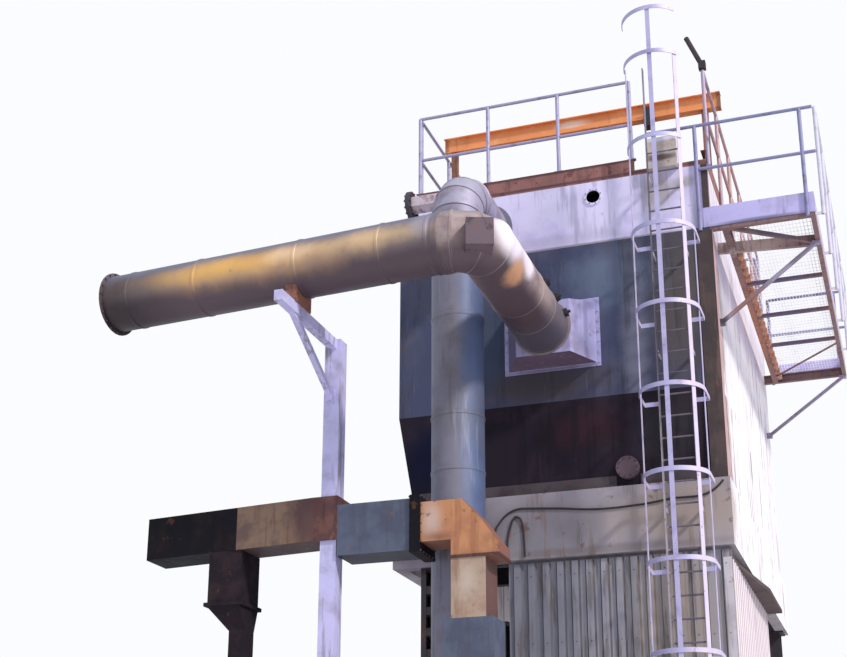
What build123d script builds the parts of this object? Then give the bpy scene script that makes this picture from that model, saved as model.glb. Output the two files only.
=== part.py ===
from build123d import *
import os
from math import cos, radians, sin, tan

# Catalytic ceramic filter unit: a steel filter housing on a column base, with duct work, roof and ladder.
# Millimetres, +Z up, +X to the right of the front face, +Y away from it.
# Sizes are laid out from the middle of the housing; the finished parts are moved at the end of this file.

# Housing plan and heights
casing_width = 3790
casing_depth = 5600
ring_beam_bottom = 5240
ring_beam_depth = 750
hopper_height = 1090
casing_height = 1920
plenum_height = 810
edge_channel_depth = 200

# Housing details
hopper_inset_left = 180
hopper_inset_front = 30
ring_beam_width = 150
ring_beam_overhang = 45
plenum_inset_left = 215
corner_post_width = 180
corner_post_proud = 25
channel_flange = 60
channel_thickness = 8
roof_plate = 20
roof_joint_x = 100
front_channel_stop = 835
front_strip_height = 45
front_strip_thickness = 10
plenum_angle_leg = 75
plenum_angle_thickness = 12
fit_gap = 0.3

# Sampling port in the plenum and blanking plate on the hopper section
port_x = 548
port_below_top = 200
port_diameter = 165
port_depth = 150
blank_x = 826
blank_above_band = 215
blank_diameter = 260
blank_thickness = 40

# Base columns and floor beams
column_width = 240
column_depth = 240
column_web = 10
column_flange = 16
base_plate = 340
base_plate_thickness = 20
column_row_gap = 50
inside_column_inset = 240
column_clearance = 20
floor_beam_depth = 260
floor_beam_width = 130
floor_beam_count = 4
batten_column_width = 350
batten_column_depth = 250
batten_column_x = -1435
batten_pitch = 240
batten_height = 90
batten_inset = 12

# Enclosure under the front right
enclosure_width = 2470
enclosure_depth = 3340
enclosure_top_gap = 40
wall_top_gap = 125
rib_pitch = 167
rib_depth = 28
wall_thickness = 45
canopy_thickness = 45
canopy_overhang = 185
canopy_taper_start = 500
canopy_taper_end = 2000
strip_width = 90
strip_thickness = 4

# Railings
bar_sides = 6
rail_diameter = 42
post_diameter = 48
rail_height = 1070
mid_rail_height = 480
roof_rail_bay = 893
front_rail_lap = 105
front_rail_corner_gap = 171
front_rail_reach = 675
rail_standoff = 66
rail_stub_width = 20
rail_stub_height = 30
side_rail_bay = 1100

# Roof lifting beam
lifting_beam_setback = 1200
lifting_beam_left = -1710
lifting_beam_right = 1990
lifting_beam_top = 11440
lifting_beam_depth = 220
lifting_beam_width = 120
lifting_beam_web = 8
lifting_beam_flange = 12
lifting_post_size = 80
lifting_post_foot = 100
lifting_post_foot_thickness = 12
trolley_x = 1055
trolley_width = 90
trolley_plate = 12
trolley_drop = 100
trolley_rise = 165

# Ladder and cage
ladder_inset = 450
ladder_width = 380
ladder_offset = 250
ladder_bottom = 300
ladder_top = 11060
stringer_width = 65
stringer_thickness = 12
rung_diameter = 22
rung_pitch = 250
cage_width = 700
cage_depth = 640
cage_strap_width = 50
cage_strap_thickness = 8
hoop_first = 3030
hoop_pitch = 943
hoop_facets = 12
cage_rise = 425
upper_hoop_drops = (0, 585, 1665)
upper_hoop_turn = 145
upper_hoop_facets = 10
strap_turns = (-90, 0, 50, 90)
strap_drops = (585, 0, 585, 2747)
bracket_width = 10
bracket_height = 50
bracket_inset = 350
bracket_step = 200

# Side platform
platform_width = 1175
platform_length = 5410
platform_rise = 80
platform_channel_depth = 130
platform_channel_width = 55
ledger_gap = 130
ledger_flange = 75
toe_board_height = 165
toe_board_thickness = 8
toe_board_drop = 85
toe_board_lap = 65
cross_channel_near = 630
cross_channel_far = 775
joist_size = 45
joist_count = 3
joist_first = 1700
joist_pitch = 1090
front_brace_size = 45
back_brace_size = 20
back_brace_near = 250
back_brace_far = 1375
grating_depth = 25
grating_pitch = 280
grating_bar = 8
knee_size = 40
knee_drop_front = 1200
knee_drop_back = 1010
knee_lug = 40
knee_head_inset = 60
knee_head_drop = 30
knee_foot_front = 200
knee_head_front = 670
knee_foot_back = 270
knee_head_back = 60
platform_rail_height = 1230
platform_mid_rail_height = 655

# Round inlet duct; distances in front of the housing are measured from its front face
inlet_diameter = 610
inlet_wall = 6
inlet_z = 7820
inlet_end_x = -4230
inlet_end_reach = 2594
inlet_turn_x = 0
inlet_turn_reach = 2905
inlet_bend_radius = 330
inlet_bend_gores = 3
duct_facets = 32
mouth_length = 300
flange_width = 40
flange_thickness = 12
hatch_width = 270
hatch_height = 270
hatch_reach = 30
hatch_x = 0
hatch_below_axis = 70
hatch_turn = 20
hatch_tilt = 5

# Hood where the inlet duct meets the front
hood_width = 1054
hood_height = 760
hood_front_width = 630
hood_front_height = 640
hood_bottom = 7500
hood_depth = 450
hood_wall = 6

# Post and bracket under the inlet duct
duct_post_x = -1980
duct_post_size = 180
duct_post_wall = 8
saddle_seat = 115
arm_depth = 110
arm_width = 90
arm_reach = 1400
strut_size = 60
strut_drop = 660
strut_reach = 1080
strut_lug = 70
saddle_width = 120
saddle_length = 380
saddle_wrap = 130

# Round outlet pipe
outlet_diameter = 580
outlet_x = -800
outlet_reach = 1100
outlet_above_casing = 380
outlet_bend_radius = 450
outlet_bend_gores = 4
stub_diameter = 230
stub_reach = 530
stub_drop = 110
stub_blank_diameter = 330
stub_blank_thickness = 50

# Low rectangular duct
low_duct_reach = 1870
low_duct_depth = 430
low_duct_height = 466
low_duct_top = 5630
low_duct_end_x = -4230
low_duct_skew = 0.114
low_duct_wall = 6
low_duct_seam_x = -3077
collar_left_x = -2150
collar_right_x = -1870
collar_skin = 30
slate_top = 5525
slate_height = 540
duct_flange_x = -1065
duct_flange_length = 110
duct_flange_proud = 30
elbow_top = 5475
elbow_depth = 400
elbow_bottom = 5060
elbow_foot_z = 4865
elbow_flat_end_x = -520
elbow_back_x = -135
elbow_back_z = 5000
elbow_shoulder_x = -325
elbow_shoulder_z = 5262
leg_width = 362
leg_centre_x = -452
foot_width = 512
foot_height = 4262
drop_centre_x = -3200
drop_width = 385
drop_box_height = 590
drop_flange = 30
drop_flange_thickness = 40
drop_cone_height = 250
drop_pipe_x = -3085
drop_pipe_width = 195

# Terminal box at the head of the ladder and safety gate folded up beside it
box_left_of_ladder = 225
box_width = 350
box_depth = 110
box_below_plenum_top = 10
box_height = 400
gate_hub = 84
gate_hub_height = 100
gate_arm_diameter = 60
gate_arm_lean = 170
gate_arm_rise = 420

# Cable along the front of the ring beam and a second one looped over it: each point is a share of
# half the casing's width and of the ring beam's depth, then the radius of the bend there
cable_diameter = 22
cable_points = (
    (-0.400, 0.10, 0), (-0.365, 0.516, 90), (-0.280, 0.800, 300), (0.035, 0.735, 3000), (0.250, 0.660, 3000),
    (0.520, 0.690, 1200), (0.700, 0.745, 900), (0.850, 0.738, 500), (0.935, 0.810, 400), (0.985, 0.950, 0),
)
loop_points = (
    (-0.300, 0.04, 0), (-0.297, 0.320, 900), (-0.262, 0.640, 110), (-0.222, 0.690, 60), (-0.198, 0.520, 300),
    (-0.190, 0.04, 0),
)

# Heights above the ground, worked out from the sizes above
ring_top = ring_beam_bottom + ring_beam_depth
hopper_top = ring_top + hopper_height
casing_top = hopper_top + casing_height
plenum_top = casing_top + plenum_height
roof_base = plenum_top + roof_plate
roof_top = roof_base + edge_channel_depth
platform_deck = casing_top + platform_rise
port_z = plenum_top - port_below_top
outlet_z = casing_top + outlet_above_casing
lifting_beam_under = lifting_beam_top - lifting_beam_depth
cage_top = ladder_top + cage_rise
arm_top = inlet_z - inlet_diameter / 2 - saddle_seat

# Faces of the housing, worked out from its plan
left_face = -casing_width / 2
right_face = casing_width / 2
front_face = -casing_depth / 2
back_face = casing_depth / 2
ladder_x = right_face - ladder_inset
lifting_beam_y = front_face + lifting_beam_setback
platform_back = front_face + platform_length
low_duct_front = front_face - low_duct_reach
low_duct_back = low_duct_front + low_duct_depth
outlet_y = front_face - outlet_reach

# The post passes up through the collar of the low duct, just behind its front plate
duct_post_y = low_duct_front + collar_skin + duct_post_size / 2


def block(x_low, x_high, y_low, y_high, z_low, z_high):
    """Rectangular block between two opposite corners."""
    centre = Pos((x_low + x_high) / 2, (y_low + y_high) / 2, (z_low + z_high) / 2)
    return centre * Box(x_high - x_low, y_high - y_low, z_high - z_low)


def run(profile, start, end, x_dir):
    """Straight member: a profile pushed from start to end, its own x axis along x_dir."""
    along = Vector(*end) - Vector(*start)
    plane = Plane(origin=start, x_dir=x_dir, z_dir=along.normalized())
    return extrude(plane * profile, amount=along.length)


def tube(start, end, diameter):
    """Round bar from start to end."""
    along = Vector(*end) - Vector(*start)
    plane = Plane(origin=start, z_dir=along.normalized())
    return extrude(plane * Circle(diameter / 2), amount=along.length)


def bar(start, end, diameter):
    """Slim bar from start to end, its round outline drawn with few sides."""
    along = Vector(*end) - Vector(*start)
    plane = Plane(origin=start, z_dir=along.normalized())
    return extrude(plane * RegularPolygon(diameter / 2, bar_sides), amount=along.length)


def i_section(depth, width, web, flange):
    """Outline of an I beam, depth along its y axis."""
    return (
        Rectangle(web, depth)
        + Pos(0, (depth - flange) / 2) * Rectangle(width, flange)
        + Pos(0, -(depth - flange) / 2) * Rectangle(width, flange)
    )


def channel_section(depth, flange, thickness):
    """Outline of a channel: web on x = 0, flanges towards +x, depth along y."""
    outer = Pos(flange / 2, 0) * Rectangle(flange, depth)
    inner = Pos(thickness + flange / 2, 0) * Rectangle(flange, depth - 2 * thickness)
    return outer - inner


def angle_section(leg, thickness):
    """Outline of an equal angle with its heel at the origin."""
    outer = Pos(leg / 2, leg / 2) * Rectangle(leg, leg)
    inner = Pos(thickness + leg / 2, thickness + leg / 2) * Rectangle(leg, leg)
    return outer - inner


def ring_section(diameter, wall):
    """Outline of a round tube."""
    return Circle(diameter / 2) - Circle(diameter / 2 - wall)


def faceted_ring_section(diameter, wall):
    """Outline of a round tube drawn with flat facets, so its faces stay few."""
    return RegularPolygon(diameter / 2, duct_facets) - RegularPolygon(diameter / 2 - wall, duct_facets)


def rect_ring_section(width, height, wall):
    """Outline of a rectangular tube."""
    return Rectangle(width, height) - Rectangle(width - 2 * wall, height - 2 * wall)


def rectangle_corners(x, y, width, length, z):
    """Four corners of a level rectangle round x and y."""
    return [
        (x - width / 2, y - length / 2, z), (x + width / 2, y - length / 2, z),
        (x + width / 2, y + length / 2, z), (x - width / 2, y + length / 2, z),
    ]


def frustum(start, end):
    """Solid with flat sides between two four-cornered outlines."""
    faces = [Face(Wire.make_polygon(start)), Face(Wire.make_polygon(end))]
    for index in range(4):
        after = (index + 1) % 4
        faces.append(Face(Wire.make_polygon([start[index], start[after], end[after], end[index]])))
    return Solid(Shell(faces))


def gored_path(corner, direction_in, direction_out, radius, gores):
    """Points of a lobster-back bend: an arc between two directions, cut into straight gores."""
    turn = radians(direction_in.get_angle(direction_out))
    side = (direction_out - direction_in * direction_in.dot(direction_out)).normalized()
    start = corner - direction_in * radius * tan(turn / 2)
    centre = start + side * radius
    step = turn / gores
    reach = radius / cos(step / 2)
    points = []
    for index in range(gores):
        angle = step * (index + 0.5)
        points.append(centre - side * reach * cos(angle) + direction_in * reach * sin(angle))
    return points


def mitred_duct(points, diameter):
    """Solid round duct with mitred joints through a list of points, drawn with flat facets."""
    path = Polyline(*points)
    plane = Plane(origin=points[0], z_dir=(points[1] - points[0]).normalized())
    return sweep(plane * RegularPolygon(diameter / 2, duct_facets), path=path, transition=Transition.RIGHT)


def mitred_tube(points, diameter, wall):
    """Hollow round duct with mitred joints through a list of points."""
    return mitred_duct(points, diameter) - mitred_duct(points, diameter - 2 * wall)


def railing(points, base, height, mid_height, spacing, foot=0):
    """Tube railing along straight stretches: posts, a top rail and a mid rail fused into one piece."""
    pieces = []
    last_post = None
    for start, end in zip(points[:-1], points[1:]):
        length = ((end[0] - start[0]) ** 2 + (end[1] - start[1]) ** 2) ** 0.5
        bays = max(1, round(length / spacing))
        for index in range(bays + 1):
            share = index / bays
            x = start[0] + (end[0] - start[0]) * share
            y = start[1] + (end[1] - start[1]) * share
            if (x, y) != last_post:
                pieces.append(bar((x, y, base - foot), (x, y, base + height), post_diameter))
            last_post = (x, y)
        for level in (mid_height, height):
            low = (start[0], start[1], base + level)
            high = (end[0], end[1], base + level)
            pieces.append(bar(low, high, rail_diameter))
    return Part() + pieces


# Base: columns, ring beam and floor beams

def base_columns():
    """H columns with base plates and caps under the ring beam; the front right one is inside the enclosure."""
    top = ring_beam_bottom - base_plate_thickness
    edge = base_plate / 2
    row = front_face + enclosure_depth + column_row_gap + edge
    places = [
        (right_face - inside_column_inset, front_face + inside_column_inset),
        (left_face + edge, row),
        (right_face - edge, row),
        (left_face + edge, back_face - edge),
        (right_face - edge, back_face - edge),
    ]
    columns = []
    for x, y in places:
        shaft = run(
            i_section(column_depth, column_width, column_web, column_flange),
            (x, y, base_plate_thickness), (x, y, top), (1, 0, 0),
        )
        foot = block(x - edge, x + edge, y - edge, y + edge, 0, base_plate_thickness)
        cap = block(x - edge, x + edge, y - edge, y + edge, top, ring_beam_bottom)
        columns.append(shaft + foot + cap)
    return Compound(children=columns)


def battened_column():
    """Front left column: two channels toe to toe, joined by battens like a ladder."""
    half = batten_column_width / 2
    low = base_plate_thickness
    high = ring_beam_bottom - base_plate_thickness
    y_back = front_face + batten_column_depth
    y_middle = (front_face + y_back) / 2
    section = channel_section(batten_column_depth, channel_flange, channel_thickness)
    pieces = [
        block(batten_column_x - half, batten_column_x + half, front_face, y_back, 0, low),
        block(batten_column_x - half, batten_column_x + half, front_face, y_back, high, ring_beam_bottom),
    ]
    for side in (-1, 1):
        x = batten_column_x + side * half
        pieces.append(run(section, (x, y_middle, low), (x, y_middle, high), (-side, 0, 0)))
    reach = half - channel_thickness
    count = int((high - low) / batten_pitch)
    for index in range(count):
        z = low + batten_pitch * (index + 0.5)
        pieces.append(
            block(
                batten_column_x - reach, batten_column_x + reach,
                front_face + batten_inset, y_back - batten_inset, z, z + batten_height,
            )
        )
    return Part() + pieces


def ring_beam_side(side):
    """One side of the band round the foot of the housing; front and rear run through, sides fit between."""
    outer_x = casing_width / 2 + ring_beam_overhang
    outer_y = casing_depth / 2 + ring_beam_overhang
    if side == "front":
        return block(-outer_x, outer_x, -outer_y, -outer_y + ring_beam_width, ring_beam_bottom, ring_top)
    if side == "back":
        return block(-outer_x, outer_x, outer_y - ring_beam_width, outer_y, ring_beam_bottom, ring_top)
    inner_y = outer_y - ring_beam_width - fit_gap
    if side == "left":
        return block(-outer_x, -outer_x + ring_beam_width, -inner_y, inner_y, ring_beam_bottom, ring_top)
    return block(outer_x - ring_beam_width, outer_x, -inner_y, inner_y, ring_beam_bottom, ring_top)


def floor_beams():
    """I beams across the ring beam, under the floor of the housing."""
    inner = casing_width / 2 + ring_beam_overhang - ring_beam_width
    z = ring_top - floor_beam_depth / 2
    beams = []
    for index in range(floor_beam_count):
        y = front_face + casing_depth * (index + 1) / (floor_beam_count + 1)
        section = i_section(floor_beam_depth, floor_beam_width, column_web, column_flange)
        beams.append(run(section, (-inner, y, z), (inner, y, z), (0, 1, 0)))
    return Compound(children=beams)


# Housing

def hopper():
    """Lower section of the housing, narrower at its foot on the left and at the front."""
    low = rectangle_corners(
        hopper_inset_left / 2, hopper_inset_front / 2,
        casing_width - hopper_inset_left, casing_depth - hopper_inset_front, ring_top,
    )
    return frustum(low, rectangle_corners(0, 0, casing_width, casing_depth, hopper_top))


def casing():
    """Main filter chamber."""
    return block(left_face, right_face, front_face, back_face, hopper_top, casing_top)


def corner_post():
    """Post over the front right edge of the hopper section and the casing, and the slimmer angle above it."""
    spans = (
        (corner_post_width, corner_post_proud, ring_top, platform_deck - platform_channel_depth - fit_gap),
        (plenum_angle_leg, plenum_angle_thickness, platform_deck + toe_board_height + fit_gap, plenum_top),
    )
    posts = []
    for leg, thickness, low, high in spans:
        x = right_face + thickness
        y = front_face - thickness
        posts.append(run(angle_section(leg, thickness), (x, y, low), (x, y, high), (0, 1, 0)))
    return Compound(children=posts)


def plenum():
    """Clean-gas chamber on top of the casing, set in at its left end, with a round sampling port."""
    body = block(left_face + plenum_inset_left, right_face, front_face, back_face, casing_top, plenum_top)
    return body - tube((port_x, front_face - 1, port_z), (port_x, front_face + port_depth, port_z), port_diameter)


def roof_deck():
    """Flat roof plate inside the edge channels."""
    return block(
        left_face + plenum_inset_left, right_face, front_face, back_face, plenum_top, roof_base
    )


def roof_channel(start, end, x_dir):
    """Edge channel of the roof between two points of its outer face, standing on the roof deck."""
    z = roof_base + edge_channel_depth / 2
    section = channel_section(edge_channel_depth, channel_flange, channel_thickness)
    return run(section, (start[0], start[1], z), (end[0], end[1], z), x_dir)


def roof_edges():
    """Edge channels round the roof; the front one comes in two lengths and ends in a low strip at the ladder."""
    left = left_face + plenum_inset_left
    joint = roof_joint_x
    inside = front_face + channel_flange + fit_gap
    rear = back_face - channel_flange - fit_gap
    stop = right_face - front_channel_stop
    strip = block(
        stop, right_face, front_face, front_face + front_strip_thickness, roof_base, roof_base + front_strip_height
    )
    return {
        "roof_edge_front_left": roof_channel((left, front_face), (joint - fit_gap, front_face), (0, 1, 0)),
        "roof_edge_front_right": roof_channel((joint + fit_gap, front_face), (stop, front_face), (0, 1, 0)) + strip,
        "roof_edge_sides": Compound(children=[
            roof_channel((left, inside), (left, rear), (1, 0, 0)),
            roof_channel((right_face, inside), (right_face, rear), (-1, 0, 0)),
            roof_channel((left, back_face), (right_face, back_face), (0, -1, 0)),
        ]),
    }


def roof_rails():
    """Railings on the edge channels of the roof; the right one stands outside its channel."""
    left = left_face + plenum_inset_left + channel_flange / 2
    right = right_face - channel_flange / 2
    outside = right_face + post_diameter / 2 + fit_gap
    front = front_face + channel_flange / 2
    back = back_face - channel_flange / 2
    front_end = left + roof_rail_bay * int((ladder_x - cage_width / 2 - left) / roof_rail_bay)
    return {
        "roof_rail_front": railing(
            [(left, front), (front_end, front)], roof_top, rail_height, mid_rail_height, roof_rail_bay
        ),
        "roof_rail_sides": Compound(children=[
            railing(
                [(x, front + post_diameter), (x, back - post_diameter)],
                roof_top, rail_height, mid_rail_height, side_rail_bay, foot,
            )
            for x, foot in ((left, 0), (outside, edge_channel_depth))
        ]),
        "roof_rail_back": railing(
            [(left, back), (right, back)], roof_top, rail_height, mid_rail_height, side_rail_bay
        ),
    }


def lifting_beam():
    """Runway beam across the roof for lifting filter elements."""
    z = lifting_beam_top - lifting_beam_depth / 2
    section = i_section(lifting_beam_depth, lifting_beam_width, lifting_beam_web, lifting_beam_flange)
    return run(section, (lifting_beam_left, lifting_beam_y, z), (lifting_beam_right, lifting_beam_y, z), (0, 1, 0))


def lifting_beam_posts():
    """Two posts from the roof deck to the underside of the lifting beam."""
    foot = lifting_post_foot / 2
    half = lifting_post_size / 2
    y = lifting_beam_y
    posts = []
    inset = channel_flange + foot + fit_gap
    for x in (left_face + plenum_inset_left + inset, right_face - inset):
        plate = block(x - foot, x + foot, y - foot, y + foot, roof_base, roof_base + lifting_post_foot_thickness)
        shaft = block(x - half, x + half, y - half, y + half, roof_base, lifting_beam_under)
        posts.append(plate + shaft)
    return Compound(children=posts)


def hoist_trolley():
    """Push trolley of the lifting beam: two side plates astride its lower flange and a block under it."""
    left = trolley_x - trolley_width / 2
    right = trolley_x + trolley_width / 2
    inside = lifting_beam_width / 2 + fit_gap
    outside = inside + trolley_plate
    y = lifting_beam_y
    high = lifting_beam_under + trolley_rise
    body = block(left, right, y - outside, y + outside, lifting_beam_under - trolley_drop, high)
    return body - block(left, right, y - inside, y + inside, lifting_beam_under - fit_gap, high)


def ladder():
    """Ladder up the front face: two flat stringers and round rungs."""
    y = front_face - ladder_offset
    half = ladder_width / 2
    pieces = []
    for side in (-1, 1):
        x = ladder_x + side * half
        pieces.append(
            block(
                x - stringer_thickness / 2, x + stringer_thickness / 2,
                y - stringer_width / 2, y + stringer_width / 2, ladder_bottom, ladder_top,
            )
        )
    count = int((roof_top - ladder_bottom) / rung_pitch)
    for index in range(count + 1):
        z = ladder_bottom + rung_pitch * (index + 0.5)
        pieces.append(bar((ladder_x - half, y, z), (ladder_x + half, y, z), rung_diameter))
    return Part() + pieces


def hoop_arc(offset, whole_turn, facets):
    """Plan of the round front of a hoop, from its left side through whole_turn degrees."""
    half = cage_width / 2 + offset
    straight = cage_depth - cage_width / 2
    turns = [radians(whole_turn * index / facets) for index in range(facets + 1)]
    return [(-half * cos(turn), -straight - half * sin(turn)) for turn in turns]


def hoop_points(offset):
    """Plan of a full hoop at an offset from its inner face: returns, straight sides and a half-round front."""
    half = cage_width / 2 + offset
    inside = ladder_width / 2 + stringer_thickness / 2 + fit_gap
    start = [(-inside, offset), (-half, offset)]
    return start + hoop_arc(offset, 180, hoop_facets) + [(half, offset), (inside, offset)]


def cage_hoops():
    """Flat hoops of the ladder cage, each returned to the stringers; the upper ones are open at the right."""
    full = Polyline(*hoop_points(cage_strap_thickness), *reversed(hoop_points(0)), close=True)
    outer = hoop_arc(cage_strap_thickness, upper_hoop_turn, upper_hoop_facets)
    inner = hoop_arc(0, upper_hoop_turn, upper_hoop_facets)
    part = Polyline(*outer, *reversed(inner), close=True)
    y = front_face - ladder_offset
    upper = [cage_top - cage_strap_width - drop for drop in upper_hoop_drops]
    hoops = []
    level = hoop_first
    while level < min(upper) - hoop_pitch / 2:
        hoops.append(extrude(Pos(ladder_x, y, level) * make_face(full), amount=cage_strap_width))
        level += hoop_pitch
    for level in upper:
        hoops.append(extrude(Pos(ladder_x, y, level) * make_face(part), amount=cage_strap_width))
    return Compound(children=hoops)


def cage_straps():
    """Upright straps inside the hoops, each ending at one of the upper hoops."""
    y = front_face - ladder_offset
    straight = cage_depth - cage_width / 2
    clear = cage_width / 2 * cos(radians(90 / hoop_facets)) - fit_gap
    radius = (clear ** 2 - (cage_strap_width / 2) ** 2) ** 0.5 - cage_strap_thickness / 2
    straps = []
    for turn, drop in zip(strap_turns, strap_drops):
        x = ladder_x + radius * sin(radians(turn))
        back = y - straight - radius * cos(radians(turn))
        strap = Rectangle(cage_strap_width, cage_strap_thickness)
        across = (cos(radians(turn)), sin(radians(turn)), 0)
        plane = Plane(origin=(x, back, hoop_first), x_dir=across, z_dir=(0, 0, 1))
        straps.append(extrude(plane * strap, amount=cage_top - drop - hoop_first))
    return Compound(children=straps)


def ladder_brackets():
    """Standoff brackets from the front of the housing to the stringers."""
    y = front_face - ladder_offset + stringer_width / 2
    half = bracket_width / 2
    levels = {
        ring_beam_bottom + ring_beam_depth / 2: front_face - ring_beam_overhang,
        hopper_top + bracket_inset: front_face,
        casing_top - bracket_inset: front_face,
        plenum_top - bracket_step: front_face,
    }
    brackets = []
    for z, wall in levels.items():
        for side in (-1, 1):
            x = ladder_x + side * ladder_width / 2
            brackets.append(block(x - half, x + half, y, wall, z, z + bracket_height))
    return Compound(children=brackets)


# Side platform

def platform_frame():
    """Channels round the platform, the inner one standing off the housing, with cross channels and plan braces."""
    wall = right_face + fit_gap
    ledger = right_face + ledger_gap
    right = right_face + platform_width
    z = platform_deck - platform_channel_depth / 2
    section = channel_section(platform_channel_depth, platform_channel_width, channel_thickness)
    ledger_section = channel_section(platform_channel_depth, ledger_flange, channel_thickness)
    pieces = [
        run(section, (right, front_face, z), (right, platform_back, z), (-1, 0, 0)),
        run(ledger_section, (ledger, front_face, z), (ledger, platform_back, z), (1, 0, 0)),
        run(section, (wall, front_face, z), (right, front_face, z), (0, 1, 0)),
        run(section, (wall, platform_back, z), (right, platform_back, z), (0, -1, 0)),
    ]
    inside = right - channel_thickness
    low = platform_deck - platform_channel_depth
    near = front_face + cross_channel_near
    far = front_face + cross_channel_far
    high = platform_deck - channel_thickness
    layers = (
        (channel_thickness, low, platform_deck), (platform_channel_width, low, low + channel_thickness),
        (platform_channel_width, high, platform_deck),
    )
    for width, bottom, top in layers:
        plan = Polyline((wall, near), (inside, far), (inside, far + width), (wall, near + width), close=True)
        pieces.append(extrude(Plane.XY.offset(bottom) * make_face(plan), amount=top - bottom))
    for index in range(joist_count):
        y = front_face + joist_first + joist_pitch * index
        pieces.append(block(ledger, inside, y - joist_size / 2, y + joist_size / 2, low, low + joist_size))
    outer = right - platform_channel_width / 2
    start = ledger + ledger_flange / 2
    front = front_face + platform_channel_width / 2
    braces = [
        (front_brace_size, (start, front), (outer, far)),
        (back_brace_size, (start, platform_back - back_brace_near), (outer, platform_back - back_brace_far)),
    ]
    for size, start, end in braces:
        level = low + (channel_thickness + size) / 2
        pieces.append(run(Rectangle(size, size), (*start, level), (*end, level), (0, 0, 1)))
    return Part() + pieces


def platform_grating():
    """Open grating on the platform: bearing bars along it, held by a rim."""
    left = right_face + ledger_gap
    right = right_face + platform_width
    low = platform_deck
    high = platform_deck + grating_depth
    t = toe_board_thickness
    rim = block(left, right, front_face + t, platform_back, low, high)
    rim -= block(
        left + grating_bar, right - grating_bar, front_face + t + grating_bar, platform_back - grating_bar, low, high
    )
    pieces = [rim]
    count = int((right - left) / grating_pitch)
    for index in range(1, count):
        x = left + (right - left) * index / count
        pieces.append(block(x - grating_bar / 2, x + grating_bar / 2, front_face + t, platform_back, low, high))
    return Part() + pieces


def toe_boards():
    """Upright boards round the free edges of the platform; the front one covers the end of its frame."""
    right = right_face + platform_width
    low = platform_deck + grating_depth
    high = platform_deck + toe_board_height
    t = toe_board_thickness
    lap = right_face - toe_board_lap
    front = block(lap, right, front_face - t, front_face, platform_deck - toe_board_drop, high)
    outer = block(right - t, right, front_face - t, platform_back, low, high)
    back = block(right_face + ledger_gap, right, platform_back - t, platform_back, low, high)
    return Part() + [front, outer, back]


def end_railing(first, last, corner, y):
    """Railing across one end of the platform, its rails running on past the last post to the corner."""
    rails = railing(
        [(first, y), (last, y)], platform_deck, platform_rail_height, platform_mid_rail_height,
        side_rail_bay, platform_channel_depth,
    )
    for level in (platform_deck + platform_mid_rail_height, platform_deck + platform_rail_height):
        rails += bar((last, y, level), (corner, y, level), rail_diameter)
    return rails


def platform_rails():
    """Railings at the front, outer side and rear of the platform; the outer one stands off on stubs."""
    flat = post_diameter / 2 * cos(radians(180 / bar_sides))
    right = right_face + platform_width
    outer = right + post_diameter / 2 + rail_standoff
    front = front_face - toe_board_thickness - flat - fit_gap
    back = platform_back + flat + fit_gap
    last_post = outer - front_rail_corner_gap
    corner = outer - post_diameter / 2 - fit_gap
    lap = right_face - front_rail_lap
    reach = right_face - front_rail_reach
    level = platform_deck + platform_rail_height
    front_rail = end_railing(lap, last_post, corner, front)
    front_rail += bar((reach, front, level), (lap, front, level), rail_diameter)
    outer_rail = railing(
        [(outer, front_face), (outer, platform_back)],
        platform_deck, platform_rail_height, platform_mid_rail_height, joist_pitch, platform_channel_depth,
    )
    half = rail_stub_width / 2
    low = platform_deck - platform_channel_depth
    bays = round(platform_length / joist_pitch)
    for index in range(bays + 1):
        y = front_face + platform_length * index / bays
        outer_rail += block(right + fit_gap, outer, y - half, y + half, low, low + rail_stub_height)
    return {
        "platform_rail_front": front_rail,
        "platform_rail_outer": outer_rail,
        "platform_rail_back": end_railing(right_face + ledger_gap, last_post, corner, back),
    }


def knee_braces():
    """Slanted struts from the side of the housing to the outer end of the first and last cross channel."""
    under = platform_deck - platform_channel_depth
    half = knee_size / 2
    right = right_face + platform_width
    places = (
        (front_face + knee_foot_front, front_face + knee_head_front, platform_deck - knee_drop_front),
        (platform_back - knee_foot_back, platform_back - knee_head_back, platform_deck - knee_drop_back),
    )
    braces = []
    for y, y_head, z in places:
        foot = (right_face + knee_size, y, z)
        head = (right - knee_head_inset, y_head, under - knee_head_drop)
        strut = run(Rectangle(knee_size, knee_size), foot, head, (0, 1, 0))
        lug = block(right_face + fit_gap, right_face + 2 * knee_size, y - half, y + half, z - knee_lug, z + knee_lug)
        seat = block(head[0] - knee_size, right, y_head - half, y_head + half, head[2] - half, under)
        braces.append(strut + lug + seat)
    return Compound(children=braces)


# Round inlet duct

def inlet_end():
    """Open end of the inlet duct, on its axis."""
    return Vector(inlet_end_x, front_face - inlet_end_reach, inlet_z)


def inlet_corner():
    """Point where the axes of the two straight stretches of the inlet duct cross."""
    return Vector(inlet_turn_x, front_face - inlet_turn_reach, inlet_z)


def inlet_along():
    """Direction of the long stretch of the inlet duct."""
    return (inlet_corner() - inlet_end()).normalized()


def inlet_bend_start():
    """Point where the long stretch of the inlet duct meets its elbow."""
    turn = radians(inlet_along().get_angle(Vector(0, 1, 0)))
    return inlet_corner() - inlet_along() * inlet_bend_radius * tan(turn / 2)


def inlet_mouth():
    """First length of the inlet duct, open at its end."""
    start = inlet_end()
    ring = faceted_ring_section(inlet_diameter, inlet_wall)
    return run(ring, start, start + inlet_along() * mouth_length, (0, 0, 1))


def inlet_flange():
    """Flange round the open end of the inlet duct."""
    start = inlet_end()
    ring = faceted_ring_section(inlet_diameter + 2 * flange_width, flange_width - fit_gap)
    return run(ring, start, start + inlet_along() * flange_thickness, (0, 0, 1))


def inlet_duct():
    """Straight inlet duct up to its elbow."""
    start = inlet_end() + inlet_along() * mouth_length
    return run(ring_section(inlet_diameter, inlet_wall), start, inlet_bend_start(), (0, 0, 1))


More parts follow.
